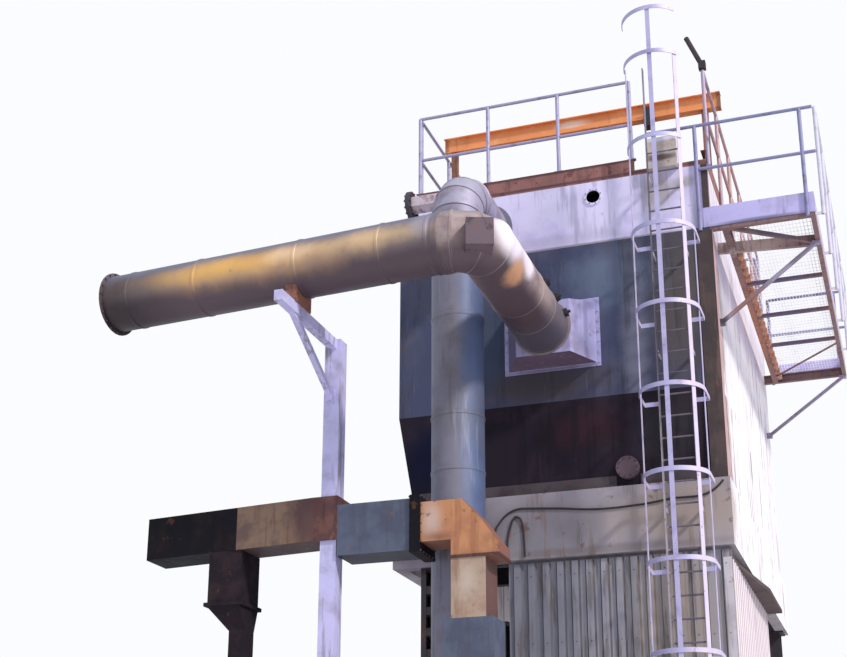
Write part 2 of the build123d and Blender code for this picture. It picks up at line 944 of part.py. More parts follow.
def inlet_elbow_points():
    """Axis of the inlet elbow, from the straight duct to the hood."""
    bend = gored_path(inlet_corner(), inlet_along(), Vector(0, 1, 0), inlet_bend_radius, inlet_bend_gores)
    return [inlet_bend_start()] + bend + [Vector(inlet_turn_x, front_face - hood_depth, inlet_z)]


def inlet_elbow():
    """Lobster-back elbow of the inlet duct."""
    return mitred_tube(inlet_elbow_points(), inlet_diameter, inlet_wall)


def hood_corners(reach, width, height, inset):
    """Four corners of the hood's outline at a distance in front of the wall."""
    half = width / 2 - inset
    low = hood_bottom + inset
    high = hood_bottom + height - inset
    y = front_face - reach
    x = inlet_turn_x
    return [(x - half, y, low), (x + half, y, low), (x + half, y, high), (x - half, y, high)]


def hood():
    """Pyramid transition from the round duct to the front of the casing, flat underneath."""
    outer = frustum(
        hood_corners(0, hood_width, hood_height, 0),
        hood_corners(hood_depth, hood_front_width, hood_front_height, 0),
    )
    inner = frustum(
        hood_corners(0, hood_width, hood_height, hood_wall),
        hood_corners(hood_depth - hood_wall, hood_front_width, hood_front_height, hood_wall),
    )
    front = Plane(origin=(inlet_turn_x, front_face - hood_depth, inlet_z), x_dir=(1, 0, 0), z_dir=(0, -1, 0))
    hole = extrude(front * RegularPolygon(inlet_diameter / 2 - inlet_wall, duct_facets), amount=-2 * hood_wall)
    return outer - inner - hole


def inspection_hatch():
    """Hatch on the outside of the elbow, standing off it on a short frame."""
    centre = Vector(hatch_x, front_face - inlet_turn_reach, inlet_z - hatch_below_axis)
    turn = radians(hatch_turn)
    tilt = radians(hatch_tilt)
    direction = Vector(sin(turn) * cos(tilt), -cos(turn) * cos(tilt), -sin(tilt))
    plane = Plane(origin=centre, x_dir=(cos(turn), sin(turn), 0), z_dir=direction)
    frame = extrude(plane * Rectangle(hatch_width, hatch_height), amount=inlet_diameter / 2 + hatch_reach)
    return frame - mitred_duct(inlet_elbow_points(), inlet_diameter + 2 * fit_gap)


# Post and bracket under the inlet duct

def duct_post():
    """Square hollow post with base plate and cap."""
    x, y = duct_post_x, duct_post_y
    section = rect_ring_section(duct_post_size, duct_post_size, duct_post_wall)
    shaft = run(section, (x, y, base_plate_thickness), (x, y, arm_top - flange_thickness), (1, 0, 0))
    edge = base_plate / 2
    foot = block(x - edge, x + edge, y - edge, y + edge, 0, base_plate_thickness)
    half = duct_post_size / 2
    cap = block(x - half, x + half, y - half, y + half, arm_top - flange_thickness, arm_top)
    return shaft + foot + cap


def duct_bracket():
    """Arm and strut that carry the inlet duct forward of the post."""
    x = duct_post_x
    back = duct_post_y - duct_post_size / 2 - fit_gap
    under = arm_top - arm_depth
    arm = block(x - arm_width / 2, x + arm_width / 2, back - arm_reach, back, under, arm_top)
    strut = run(
        Rectangle(strut_size, strut_size), (x, back - strut_size / 2, arm_top - strut_drop),
        (x, back - strut_reach, under + strut_size / 2), (1, 0, 0),
    )
    lug = block(
        x - arm_width / 2, x + arm_width / 2, back - strut_lug, back,
        arm_top - strut_drop - strut_lug, arm_top - strut_drop + strut_lug,
    )
    return arm + strut + lug


def duct_saddle():
    """Cradle between the arm and the duct."""
    share = (duct_post_x - inlet_end_x) / (inlet_turn_x - inlet_end_x)
    y = front_face - inlet_end_reach - share * (inlet_turn_reach - inlet_end_reach)
    half = saddle_length / 2
    body = block(
        duct_post_x - saddle_width / 2, duct_post_x + saddle_width / 2, y - half, y + half,
        arm_top + fit_gap, inlet_z - inlet_diameter / 2 + saddle_wrap,
    )
    bore = run(Circle(inlet_diameter / 2 + fit_gap), inlet_end(), inlet_corner(), (0, 0, 1))
    return body - bore


# Round outlet pipe

def outlet_points():
    """Axis of the outlet elbow, from the pipe up and into the plenum."""
    up = Vector(0, 0, 1)
    corner = Vector(outlet_x, outlet_y, outlet_z)
    bend = gored_path(corner, up, Vector(0, 1, 0), outlet_bend_radius, outlet_bend_gores)
    return [corner - up * outlet_bend_radius] + bend + [Vector(outlet_x, front_face, outlet_z)]


def outlet_elbow():
    """Lobster-back elbow into the plenum."""
    return mitred_tube(outlet_points(), outlet_diameter, inlet_wall)


def outlet_pipe():
    """Down pipe from the elbow to the ground."""
    foot = (outlet_x, outlet_y, 0)
    return run(ring_section(outlet_diameter, inlet_wall), foot, outlet_points()[0], (1, 0, 0))


def outlet_stub():
    """Blanked side stub of the outlet elbow."""
    z = outlet_z - stub_drop
    end = outlet_x - stub_reach
    stub = bar((outlet_x, outlet_y, z), (end, outlet_y, z), stub_diameter)
    half = stub_blank_diameter / 2
    blank = tube((end, outlet_y, z), (end - stub_blank_thickness, outlet_y, z), 2 * half)
    below = outlet_points()[0] - Vector(0, 0, stub_blank_diameter)
    return stub + blank - mitred_duct([below] + outlet_points()[1:], outlet_diameter + 2 * fit_gap)


# Low rectangular duct

def low_duct_plan(x, inset):
    """Front and back of the low duct at x; the lengths left of the collar run slightly askew."""
    shift = low_duct_skew * max(0, collar_left_x - x)
    return low_duct_front + shift + inset, low_duct_back + shift - inset


def low_duct_run(x_start, x_end, top, height):
    """One hollow length of the low duct, cut square to the housing at both ends."""
    shells = []
    for inset in (0, low_duct_wall):
        start = low_duct_plan(x_start, inset)
        end = low_duct_plan(x_end, inset)
        outline = Polyline(
            (x_start, start[0]), (x_end, end[0]), (x_end, end[1]), (x_start, start[1]), close=True
        )
        plane = Plane.XY.offset(top - height + inset)
        shells.append(extrude(plane * make_face(outline), amount=height - 2 * inset))
    return shells[0] - shells[1]


def low_duct_collar():
    """Rusty collar box between the duct lengths; the duct post passes up through it."""
    half = duct_post_size / 2 + fit_gap
    body = block(
        collar_left_x, collar_right_x, low_duct_front, low_duct_back, low_duct_top - low_duct_height, low_duct_top
    )
    shaft = block(
        duct_post_x - half, duct_post_x + half, duct_post_y - half, duct_post_y + half,
        low_duct_top - low_duct_height, low_duct_top,
    )
    return body - shaft


def low_duct_flange():
    """Dark flange pair between the slate length and the elbow."""
    return block(
        duct_flange_x, duct_flange_x + duct_flange_length,
        low_duct_front - duct_flange_proud, low_duct_back + duct_flange_proud,
        slate_top - slate_height - duct_flange_proud, slate_top + duct_flange_proud,
    )


def low_duct_elbow():
    """Elbow with a chamfered back, from the run into the leg."""
    left = duct_flange_x + duct_flange_length + fit_gap
    inner = leg_centre_x - leg_width / 2
    outline = Polyline(
        (left, elbow_bottom), (left, elbow_top), (elbow_flat_end_x, elbow_top),
        (elbow_shoulder_x, elbow_shoulder_z), (elbow_back_x, elbow_back_z), (elbow_back_x, elbow_foot_z),
        (inner, elbow_foot_z), (inner, elbow_bottom), close=True,
    )
    plane = Plane(origin=(0, low_duct_front, 0), x_dir=(1, 0, 0), z_dir=(0, -1, 0))
    return extrude(plane * make_face(outline), amount=-elbow_depth)


def leg():
    """Leg of the low duct under its elbow."""
    y = low_duct_front + elbow_depth / 2
    section = rect_ring_section(leg_width, elbow_depth, low_duct_wall)
    return run(section, (leg_centre_x, y, foot_height), (leg_centre_x, y, elbow_foot_z), (1, 0, 0))


def leg_foot():
    """Wider foot of the leg on the ground."""
    half = foot_width / 2
    return block(
        leg_centre_x - half, leg_centre_x + half, low_duct_front, low_duct_front + elbow_depth, 0, foot_height
    )


def drop_branch():
    """Box under the low duct, its flange, the funnel and the narrow pipe to the ground."""
    front, back = low_duct_plan(drop_centre_x, 0)
    y = (front + back) / 2
    depth = back - front
    box_low = low_duct_top - low_duct_height - drop_box_height
    cone_low = box_low - drop_cone_height
    half = drop_width / 2
    rim = drop_flange + half
    box = block(
        drop_centre_x - half, drop_centre_x + half, front, back, box_low, low_duct_top - low_duct_height - fit_gap
    )
    flange = block(
        drop_centre_x - rim, drop_centre_x + rim, front - drop_flange, back + drop_flange,
        box_low, box_low + drop_flange_thickness,
    )
    cone = frustum(
        rectangle_corners(drop_centre_x, y, drop_width, depth, box_low),
        rectangle_corners(drop_pipe_x, y, drop_pipe_width, drop_pipe_width, cone_low),
    )
    reach = drop_pipe_width / 2
    pipe = block(drop_pipe_x - reach, drop_pipe_x + reach, y - reach, y + reach, 0, cone_low)
    return box + flange + cone + pipe


# Enclosure

def rib_wall(length, height):
    """Corrugated sheet on edge: flat inside, trapezoid ribs outside, from x = 0 to length."""
    count = max(1, round(length / rib_pitch))
    pitch = length / count
    flat = wall_thickness - rib_depth
    points = [(0, 0), (0, -flat)]
    for index in range(count):
        x = pitch * index
        points += [
            (x + pitch * 0.30, -flat), (x + pitch * 0.40, -wall_thickness),
            (x + pitch * 0.85, -wall_thickness), (x + pitch * 0.95, -flat),
        ]
    points += [(length, -flat), (length, 0)]
    outline = make_face(Polyline(*points, close=True))
    return extrude(outline, amount=height)


def enclosure_walls():
    """Front, rear and side walls of the enclosure; the front one reaches up to the ring beam."""
    right = right_face
    left = right - enclosure_width
    front = front_face
    back = front + enclosure_depth
    high = ring_beam_bottom - enclosure_top_gap
    low = ring_beam_bottom - wall_top_gap
    t = wall_thickness
    front_wall = Pos(left, front + t, 0) * rib_wall(enclosure_width, high)
    back_wall = Pos(right, back - t, 0) * Rot(0, 0, 180) * rib_wall(enclosure_width, low)
    side_length = enclosure_depth - 2 * t - 2 * fit_gap
    right_wall = Pos(right - t, front + t + fit_gap, 0) * Rot(0, 0, 90) * rib_wall(side_length, low)
    left_wall = Pos(left + t, back - t - fit_gap, 0) * Rot(0, 0, -90) * rib_wall(side_length, low)
    backing = block(left, right, front + rib_depth, front + t, high, ring_beam_bottom)
    return {
        "enclosure_front": front_wall + backing,
        "enclosure_sides": Compound(children=[right_wall, left_wall, back_wall]),
    }


def corner_strip():
    """Flat pale strip down the front right corner of the enclosure."""
    x = right_face - strip_width
    y = front_face - strip_thickness - fit_gap
    return block(x, right_face, y, front_face - fit_gap, 0, ring_beam_bottom - wall_top_gap)


def canopy():
    """Flat roof of the enclosure, its overhang on the right tapering off towards the front."""
    left = right_face - enclosure_width
    front = front_face + wall_thickness + fit_gap
    back = front_face + enclosure_depth
    out = right_face + canopy_overhang
    outline = Polyline(
        (left, front), (right_face, front), (right_face, front_face + canopy_taper_start),
        (out, front_face + canopy_taper_end), (out, back), (left, back), close=True,
    )
    plane = Plane.XY.offset(ring_beam_bottom - wall_top_gap + fit_gap)
    x = right_face - inside_column_inset
    y = front_face + inside_column_inset
    reach = column_width / 2 + column_clearance
    opening = Pos(x, y) * Rectangle(2 * reach, 2 * reach)
    return extrude(plane * (make_face(outline) - opening), amount=canopy_thickness)


def blanking_plate():
    """Round blanking plate low on the front, seated on the slope of the hopper section."""
    z = ring_top + blank_above_band
    plate = tube(
        (blank_x, front_face + hopper_inset_front, z), (blank_x, front_face - blank_thickness, z), blank_diameter
    )
    return plate - hopper()


def terminal_box():
    """Flat box on the front of the housing at the head of the ladder."""
    left = ladder_x - box_left_of_ladder
    low = plenum_top - box_below_plenum_top
    return block(left, left + box_width, front_face - box_depth, front_face, low, low + box_height)


def safety_gate():
    """Folded gate arm with its hub on the front post of the right roof railing."""
    x = right_face + post_diameter / 2 + fit_gap
    y = front_face + channel_flange / 2 + post_diameter
    low = roof_top + rail_height + rail_diameter / 2 + fit_gap
    half = gate_hub / 2
    hub = block(x - half, x + half, y - half, y + half, low, low + gate_hub_height)
    z = low + gate_hub_height / 2
    return hub + bar((x, y, z), (x - gate_arm_lean, y, z + gate_arm_rise), gate_arm_diameter)


def band_cables():
    """Two round cables held on the front of the ring beam, each with rounded bends."""
    y = front_face - ring_beam_overhang - cable_diameter / 2 - fit_gap
    cables = []
    for points in (cable_points, loop_points):
        route = [(x * right_face, y, ring_beam_bottom + share * ring_beam_depth) for x, share, bend in points]
        bends = [bend for x, share, bend in points[1:-1]]
        path = FilletPolyline(*route, radius=bends)
        print("cable bends", bends, "length", round(path.length, 1))
        along = (Vector(*route[1]) - Vector(*route[0])).normalized()
        cables.append(sweep(Plane(origin=route[0], z_dir=along) * Circle(cable_diameter / 2), path=path))
    return Compound(children=cables)


parts = {}
parts["base_columns"] = base_columns()
parts["battened_column"] = battened_column()
parts["ring_beam_front"] = ring_beam_side("front")
parts["ring_beam_sides"] = Compound(children=[ring_beam_side(side) for side in ("left", "right", "back")])
parts["floor_beams"] = floor_beams()
parts["hopper"] = hopper()
parts["casing"] = casing()
parts["blanking_plate"] = blanking_plate()
parts["corner_post"] = corner_post()
parts["plenum"] = plenum()
parts["roof_deck"] = roof_deck()
parts.update(roof_edges())
parts.update(roof_rails())
parts["lifting_beam"] = lifting_beam()
parts["lifting_beam_posts"] = lifting_beam_posts()
parts["hoist_trolley"] = hoist_trolley()
parts["ladder"] = ladder()
parts["cage_hoops"] = cage_hoops()
parts["cage_straps"] = cage_straps()
parts["ladder_brackets"] = ladder_brackets()
parts["platform_frame"] = platform_frame()
parts["platform_grating"] = platform_grating()
parts["toe_boards"] = toe_boards()
parts.update(platform_rails())
parts["knee_braces"] = knee_braces()
parts["inlet_mouth"] = inlet_mouth()
parts["inlet_flange"] = inlet_flange()
parts["inlet_duct"] = inlet_duct()
parts["inlet_elbow"] = inlet_elbow()
parts["hood"] = hood()
parts["inspection_hatch"] = inspection_hatch()
parts["duct_post"] = duct_post()
parts["duct_bracket"] = duct_bracket()
parts["duct_saddle"] = duct_saddle()
parts["outlet_pipe"] = outlet_pipe()
parts["outlet_elbow"] = outlet_elbow()
parts["outlet_stub"] = outlet_stub()
mouth_end = low_duct_end_x + mouth_length
parts["low_duct_mouth"] = low_duct_run(low_duct_end_x, mouth_end, low_duct_top, low_duct_height)
parts["low_duct_dark"] = low_duct_run(mouth_end, low_duct_seam_x, low_duct_top, low_duct_height)
parts["low_duct_brown"] = low_duct_run(low_duct_seam_x, collar_left_x, low_duct_top, low_duct_height)
parts["low_duct_collar"] = low_duct_collar()
parts["low_duct_slate"] = low_duct_run(collar_right_x, duct_flange_x, slate_top, slate_height)
parts["low_duct_flange"] = low_duct_flange()
parts["low_duct_elbow"] = low_duct_elbow()
parts["low_duct_leg"] = leg()
parts["low_duct_foot"] = leg_foot()
parts["drop_branch"] = drop_branch()
parts.update(enclosure_walls())
parts["corner_strip"] = corner_strip()
parts["canopy"] = canopy()
parts["terminal_box"] = terminal_box()
parts["safety_gate"] = safety_gate()
parts["band_cables"] = band_cables()

# Everything is moved so that the origin lies on the ground under the middle of the whole outline
boxes = [shape.bounding_box() for shape in parts.values()]
middle_x = (min(box.min.X for box in boxes) + max(box.max.X for box in boxes)) / 2
middle_y = (min(box.min.Y for box in boxes) + max(box.max.Y for box in boxes)) / 2
print("middle of the outline, from the middle of the housing:", round(middle_x, 3), round(middle_y, 3))

os.makedirs("parts", exist_ok=True)
for name, shape in parts.items():
    export_step(Pos(-middle_x, -middle_y, 0) * shape, "parts/" + name + ".step")
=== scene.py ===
import math

import bpy
import numpy as np
from mathutils import Matrix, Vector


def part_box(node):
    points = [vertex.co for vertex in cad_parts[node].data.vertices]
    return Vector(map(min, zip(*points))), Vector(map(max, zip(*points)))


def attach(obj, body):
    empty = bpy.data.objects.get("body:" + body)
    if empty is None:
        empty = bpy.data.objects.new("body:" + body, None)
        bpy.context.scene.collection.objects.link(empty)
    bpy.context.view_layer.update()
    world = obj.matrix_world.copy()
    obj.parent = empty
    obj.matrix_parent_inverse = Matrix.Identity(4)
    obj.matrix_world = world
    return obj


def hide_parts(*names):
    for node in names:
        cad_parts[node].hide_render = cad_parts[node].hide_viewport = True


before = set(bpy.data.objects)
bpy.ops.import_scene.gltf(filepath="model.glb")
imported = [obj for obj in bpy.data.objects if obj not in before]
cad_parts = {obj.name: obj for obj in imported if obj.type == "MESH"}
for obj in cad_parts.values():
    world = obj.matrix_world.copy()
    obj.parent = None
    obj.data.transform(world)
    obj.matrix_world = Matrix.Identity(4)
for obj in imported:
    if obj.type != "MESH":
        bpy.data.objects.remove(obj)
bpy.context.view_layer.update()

# Where the housing stands in the frame: the middle of its width and its front face
casingLow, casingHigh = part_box("casing")
middleX = (casingLow.x + casingHigh.x) / 2
frontY = casingLow.y


def at(x, y, z):
    # a place measured from the middle of the housing's front face, at ground level
    return np.array([middleX + x, frontY + y, z], float)


def put(name, data):
    # a new object in the scene
    thing = bpy.data.objects.new(name, data)
    bpy.context.scene.collection.objects.link(thing)
    return thing


def feed(tree, socket, value):
    # a link where the value is a socket, and otherwise a fixed value
    if isinstance(value, bpy.types.NodeSocket):
        tree.links.new(value, socket)
    else:
        socket.default_value = value


def count(tree, operation, *values):
    # one node of arithmetic
    node = tree.nodes.new("ShaderNodeMath")
    node.operation = operation
    for socket, value in zip(node.inputs, values):
        feed(tree, socket, value)
    return node.outputs[0]


cameraView = {
    "x": 3.69, "y": -14.94, "z": 1.6,              # metres from the middle of the front face
    "heading": 19.45, "pitch": 18.2, "roll": 0.2,  # degrees
    "focalPixels": 1415.0, "liftPixels": 109.5, "imageWidth": 847.0, "sensor": 36.0, "reach": 400.0,
}
daylight = {
    "sunTurn": (52.0, 0.0, 62.0), "sunPower": 2.6, "sunAngle": 6.0, "sunColour": (1.0, 0.97, 0.92),
    "skyColour": (0.80, 0.88, 1.0), "skyPower": 0.75, "seenSky": (0.97, 0.975, 1.0), "seenPower": 1.0,
    "floorColour": (0.80, 0.80, 0.79), "floorRough": 0.9, "floorReach": 60.0,
}


def makeCamera(look):
    # the view axes come from heading, pitch and roll: forward = cos p * level heading + sin p * up
    h, p, r = (math.radians(look[key]) for key in ("heading", "pitch", "roll"))
    level = np.array([-math.sin(h), math.cos(h), 0.0])
    right = np.array([math.cos(h), math.sin(h), 0.0])
    up = np.array([0.0, 0.0, 1.0])
    forward = math.cos(p) * level + math.sin(p) * up
    top = -math.sin(p) * level + math.cos(p) * up
    sideways, top = math.cos(r) * right + math.sin(r) * top, -math.sin(r) * right + math.cos(r) * top
    data = bpy.data.cameras.new("photoCamera")
    data.sensor_width = look["sensor"]
    data.lens = look["focalPixels"] / look["imageWidth"] * look["sensor"]
    data.shift_y = look["liftPixels"] / look["imageWidth"]
    data.clip_end = look["reach"]
    turn = np.eye(4)
    turn[:3] = np.column_stack([sideways, top, -forward, at(look["x"], look["y"], look["z"])])
    camera = put("photoCamera", data)
    camera.matrix_world = Matrix(turn.tolist())
    bpy.context.scene.camera = camera


def makeDaylight(look):
    # one broad sun from the right and a pale sky; the sky that the camera sees is a flat pale tone
    lamp = bpy.data.lights.new("sun", "SUN")
    lamp.energy = look["sunPower"]
    lamp.angle = math.radians(look["sunAngle"])
    lamp.color = look["sunColour"]
    put("sun", lamp).rotation_euler = [math.radians(turn) for turn in look["sunTurn"]]
    world = bpy.data.worlds.new("sky")
    bpy.context.scene.world = world
    world.use_nodes = True
    tree = world.node_tree
    tree.nodes.clear()
    path = tree.nodes.new("ShaderNodeLightPath").outputs
    pick = tree.nodes.new("ShaderNodeMixShader")
    feed(tree, pick.inputs[0], count(tree, "MAXIMUM", path["Is Camera Ray"], path["Is Transmission Ray"]))
    skies = (look["skyColour"], look["skyPower"]), (look["seenSky"], look["seenPower"])
    for socket, (colour, power) in zip(pick.inputs[1:], skies):
        sky = tree.nodes.new("ShaderNodeBackground")
        sky.inputs["Color"].default_value = (*colour, 1.0)
        sky.inputs["Strength"].default_value = power
        feed(tree, socket, sky.outputs[0])
    tree.links.new(pick.outputs[0], tree.nodes.new("ShaderNodeOutputWorld").inputs[0])
    bpy.context.scene.view_settings.view_transform = "Standard"


def makeFloor(look):
    # a flat square sheet of ground, stage only
    reach = look["floorReach"]
    corners = [(-reach, -reach, 0), (reach, -reach, 0), (reach, reach, 0), (-reach, reach, 0)]
    mesh = bpy.data.meshes.new("ground")
    mesh.from_pydata(corners, [], [(0, 1, 2, 3)])
    finish = bpy.data.materials.new("groundTone")
    finish.use_nodes = True
    surface = finish.node_tree.nodes["Principled BSDF"]
    surface.inputs["Base Color"].default_value = (*look["floorColour"], 1.0)
    surface.inputs["Roughness"].default_value = look["floorRough"]
    mesh.materials.append(finish)
    put("ground", mesh)


makeCamera(cameraView)
makeDaylight(daylight)
makeFloor(daylight)
print("camera, daylight and floor ready")


def unit(vectors):
    # every vector divided by its own length
    return vectors / np.linalg.norm(vectors, axis=-1, keepdims=True)


def crossAxes(along):
    # two unit axes square to each direction: u = along x guide, v = along x u
    nearlyUpright = 0.9
    guide = np.where(np.abs(along[:, 2:3]) > nearlyUpright, [[1.0, 0.0, 0.0]], [[0.0, 0.0, 1.0]])
    u = unit(np.cross(along, guide))
    return u, np.cross(along, u)


def circle(u, v, sides, start=0.0):
    # a unit circle across each pair of axes: cos t * u + sin t * v at equal turns t
    turns = (start + 2 * np.pi * np.arange(sides) / sides)[:, None]
    return np.cos(turns) * u[..., None, :] + np.sin(turns) * v[..., None, :]


def loopFaces(rings, sides):
    # four-cornered faces between each ring and the next, and from the last ring back to the first
    row, low = np.arange(rings)[:, None] * sides, np.arange(sides)[None, :]
    after, nextRow = (low + 1) % sides, (row + sides) % (rings * sides)
    faces = np.stack([row + low, row + after, nextRow + after, nextRow + low], axis=-1)
    return faces.reshape(-1, 4).tolist()


def prisms(rings):
    # like closed prisms from points by piece, ring and side: faces from ring to ring, then a cap on both ends
    number, levels, sides = rings.shape[:3]
    first, low = (np.arange(number) * levels * sides)[:, None], np.arange(sides)[None, :]
    after = (low + 1) % sides
    start = np.concatenate([first + ring * sides for ring in range(levels - 1)])
    walls = np.stack([start + low, start + after, start + after + sides, start + low + sides], axis=-1)
    caps = np.concatenate([first + low[:, ::-1], first + (levels - 1) * sides + low])
    return rings.reshape(-1, 3), walls.reshape(-1, 4).tolist() + caps.tolist()


def rods(bars, sides=14):
    # round bars from rows of start, end and diameter: point = end + radius * (cos t * u + sin t * v)
    bars = np.asarray(bars, float)
    ends = bars[:, :6].reshape(-1, 2, 1, 3)
    ring = circle(*crossAxes(unit(bars[:, 3:6] - bars[:, 0:3])), sides) * bars[:, 6:7, None] / 2
    return prisms(ends + ring[:, None])


def blocks(boxes):
    # straight boxes from rows of low and high corner: corner = low + share * (high - low)
    boxes = np.asarray(boxes, float)
    square = [(0, 0), (1, 0), (1, 1), (0, 1)]
    shares = np.array([[(x, y, z) for x, y in square] for z in (0, 1)], float)
    low, high = boxes[:, None, None, :3], boxes[:, None, None, 3:]
    return prisms(low + shares * (high - low))


def flats(bars):
    # flat bars from rows of start, end, width axis, width and thickness: corner = end point +- half width,
    # +- half thickness
    bars = np.asarray(bars, float)
    ends = bars[:, :6].reshape(-1, 2, 1, 3)
    along = unit(bars[:, 3:6] - bars[:, 0:3])
    across = unit(bars[:, 6:9] - along * np.sum(bars[:, 6:9] * along, axis=1, keepdims=True))
    wide, thick = across * bars[:, 9:10] / 2, np.cross(along, across) * bars[:, 10:11] / 2
    ring = np.stack([-wide - thick, wide - thick, wide + thick, -wide + thick], axis=1)
    return prisms(ends + ring[:, None])


def boltHeads(rows, size, height):
    # hexagon heads from rows of place and outward direction: the rings rise to the shoulder and the top, and
    # the last one is drawn in
    shoulder, topSize = 0.8, 0.8
    rows = np.asarray(rows, float)
    out = unit(rows[:, 3:6])
    ring = circle(*crossAxes(out), 6)[:, None] * size / 2
    up = out[:, None, None] * height
    base = rows[:, None, None, 0:3]
    crown = base + ring * topSize + up
    return prisms(np.concatenate([base + ring, base + ring + up * shoulder, crown], axis=1))


def boltCircle(centre, out, diameter, number, start=0.0):
    # bolt places on a circle: centre + radius * (cos t * u + sin t * v), every one facing out
    out = unit(np.array([out], float))
    places = np.asarray(centre, float) + diameter / 2 * circle(*crossAxes(out), number, start)[0]
    return np.hstack([places, np.repeat(out, number, axis=0)])


def turned(centre, along, outline, sides=64):
    # turned ring: point = centre + height * along + radius * (cos t * u + sin t * v) round a closed outline
    along = unit(np.array([along], float))
    radii, heights = np.asarray(outline, float).T[:, :, None, None]
    points = np.asarray(centre, float) + radii * circle(*crossAxes(along), sides) + heights * along
    return points.reshape(-1, 3), loopFaces(len(outline), sides)


def goredDuct(path, diameter, wall, beads, sides=64):
    # round duct with mitred joints: point = joint + shift * along + c - along * (c . n) / (along . n), where
    # c = radius * (cos t * u + sin t * v) and n is the mitre plane's normal; a bead stands up at every joint
    shoulder, straight = 0.55, 1e-6
    path = np.asarray(path, float)
    runs = unit(path[1:] - path[:-1])
    planes = unit(np.vstack([runs[:1], runs[:-1] + runs[1:], runs[-1:]]))
    bend = np.cross(runs[0], runs[-1])
    if np.linalg.norm(bend) < straight:
        bend = np.cross(runs[0], [0.0, 0.0, 1.0])
    u = unit(bend)
    last = len(path) - 1
    # rows of joint, run, shift along it and height over the skin: the outside first, then the inside
    rows = [(0, 0, 0.0, 0.0)]
    for joint, (half, rise) in enumerate(beads, start=1):
        rows += [
            (joint, joint - 1, -half, 0.0), (joint, joint - 1, -half * shoulder, rise),
            (joint, joint, half * shoulder, rise), (joint, joint, half, 0.0),
        ]
    rows += [(last, last - 1, 0.0, 0.0), (last, last - 1, 0.0, -wall)]
    rows += [(joint, joint, 0.0, -wall) for joint in range(last - 1, -1, -1)]
    joints, lengths, shifts, rises = np.array(rows).T
    joints, lengths = joints.astype(int), lengths.astype(int)
    along, normal = runs[lengths], planes[joints]
    c = (diameter / 2 + rises)[:, None, None] * circle(u, np.cross(along, u), sides)
    lean = np.sum(c * normal[:, None], axis=2) / np.sum(along * normal, axis=1)[:, None]
    points = path[joints][:, None] + (shifts[:, None] - lean)[:, :, None] * along[:, None] + c
    return points.reshape(-1, 3), loopFaces(len(rows), sides)


def goredBend(corner, before, after, radius, gores):
    # axis of a lobster-back bend: centre - side * reach * cos a + before * reach * sin a, one a for each gore
    before, after = unit(np.asarray(before, float)), unit(np.asarray(after, float))
    turn = math.acos(float(np.dot(before, after)))
    side = unit(after - before * np.dot(after, before))
    start = corner - before * radius * math.tan(turn / 2)
    step = turn / gores
    angles = step * (np.arange(gores) + 0.5)[:, None]
    reach = radius / math.cos(step / 2)
    return start, start + side * radius - side * reach * np.cos(angles) + before * reach * np.sin(angles)


def joined(*shapes):
    # several shapes as one: each shape's face numbers go up by the points before it
    points, faces, first = [], [], 0
    for some, sides in shapes:
        points.append(some)
        faces += [[index + first for index in side] for side in sides]
        first += len(some)
    return np.vstack(points), faces


def tone(red, green, blue):
    # a screen colour from 0 to 255, turned linear: ((c + 0.055) / 1.055) ** 2.4 above 0.04045
    steps = np.array([red, green, blue], float) / 255.0
    linear = np.where(steps <= 0.04045, steps / 12.92, ((steps + 0.055) / 1.055) ** 2.4)
    return (*linear.tolist(), 1.0)


def arrow(tree, operation, first, second):
    # one node of vector arithmetic
    node = tree.nodes.new("ShaderNodeVectorMath")
    node.operation = operation
    feed(tree, node.inputs[0], first)
    feed(tree, node.inputs["Scale" if operation == "SCALE" else 1], second)
    return node.outputs["Value" if operation in ("LENGTH", "DOT_PRODUCT") else "Vector"]


def smooth(tree, value, low, high):
    # 0 below low, 1 above high, an S curve between
    node = tree.nodes.new("ShaderNodeMapRange")
    node.interpolation_type = "SMOOTHSTEP"
    feed(tree, node.inputs["Value"], value)
    feed(tree, node.inputs["From Min"], low)
    feed(tree, node.inputs["From Max"], high)
    return node.outputs["Result"]


def cloud(tree, where, scale, detail, rough):
    # cloudy noise round 0.5
    node = tree.nodes.new("ShaderNodeTexNoise")
    feed(tree, node.inputs["Vector"], where)
    feed(tree, node.inputs["Scale"], scale)
    node.inputs["Detail"].default_value = detail
    node.inputs["Roughness"].default_value = rough
    return node.outputs["Fac"]


def shaken(tree, value, where, scale, share, detail=4.0, rough=0.6):
    # a value made ragged: value + share * (noise - 0.5)
    noise = count(tree, "SUBTRACT", cloud(tree, where, scale, detail, rough), 0.5)
    return count(tree, "ADD", value, count(tree, "MULTIPLY", noise, share))


socketKinds = {1: "NodeSocketFloat", 3: "NodeSocketVector", 4: "NodeSocketColor"}
somewhere, white = (0.0, 0.0, 0.0), (1.0, 1.0, 1.0, 1.0)
masks = {"Mask": 0.0}
cuts = {"Where": somewhere, "Scale": 1.0, "Level": 0.5, "Softness": 0.1}
groups = {}


def newGroup(name, takes, gives):
    # an empty node group with named inputs and outputs; a socket's kind follows the length of its first value
    tree = bpy.data.node_groups.new(name, "ShaderNodeTree")
    for way, sockets in (("INPUT", takes), ("OUTPUT", gives)):
        for label, value in sockets.items():
            kind = socketKinds[np.size(value)]
            tree.interface.new_socket(label, in_out=way, socket_type=kind).default_value = value
    groups[name] = tree
    return tree, tree.nodes.new("NodeGroupInput").outputs, tree.nodes.new("NodeGroupOutput").inputs


def blotchGroup():
    # cloud noise cut between two levels: mask = S((noise - level) / softness)
    tree, take, give = newGroup("blotches", cuts, masks)
    noise = cloud(tree, take["Where"], take["Scale"], detail=5.0, rough=0.62)
    top = count(tree, "ADD", take["Level"], take["Softness"])
    feed(tree, give["Mask"], smooth(tree, noise, take["Level"], top))


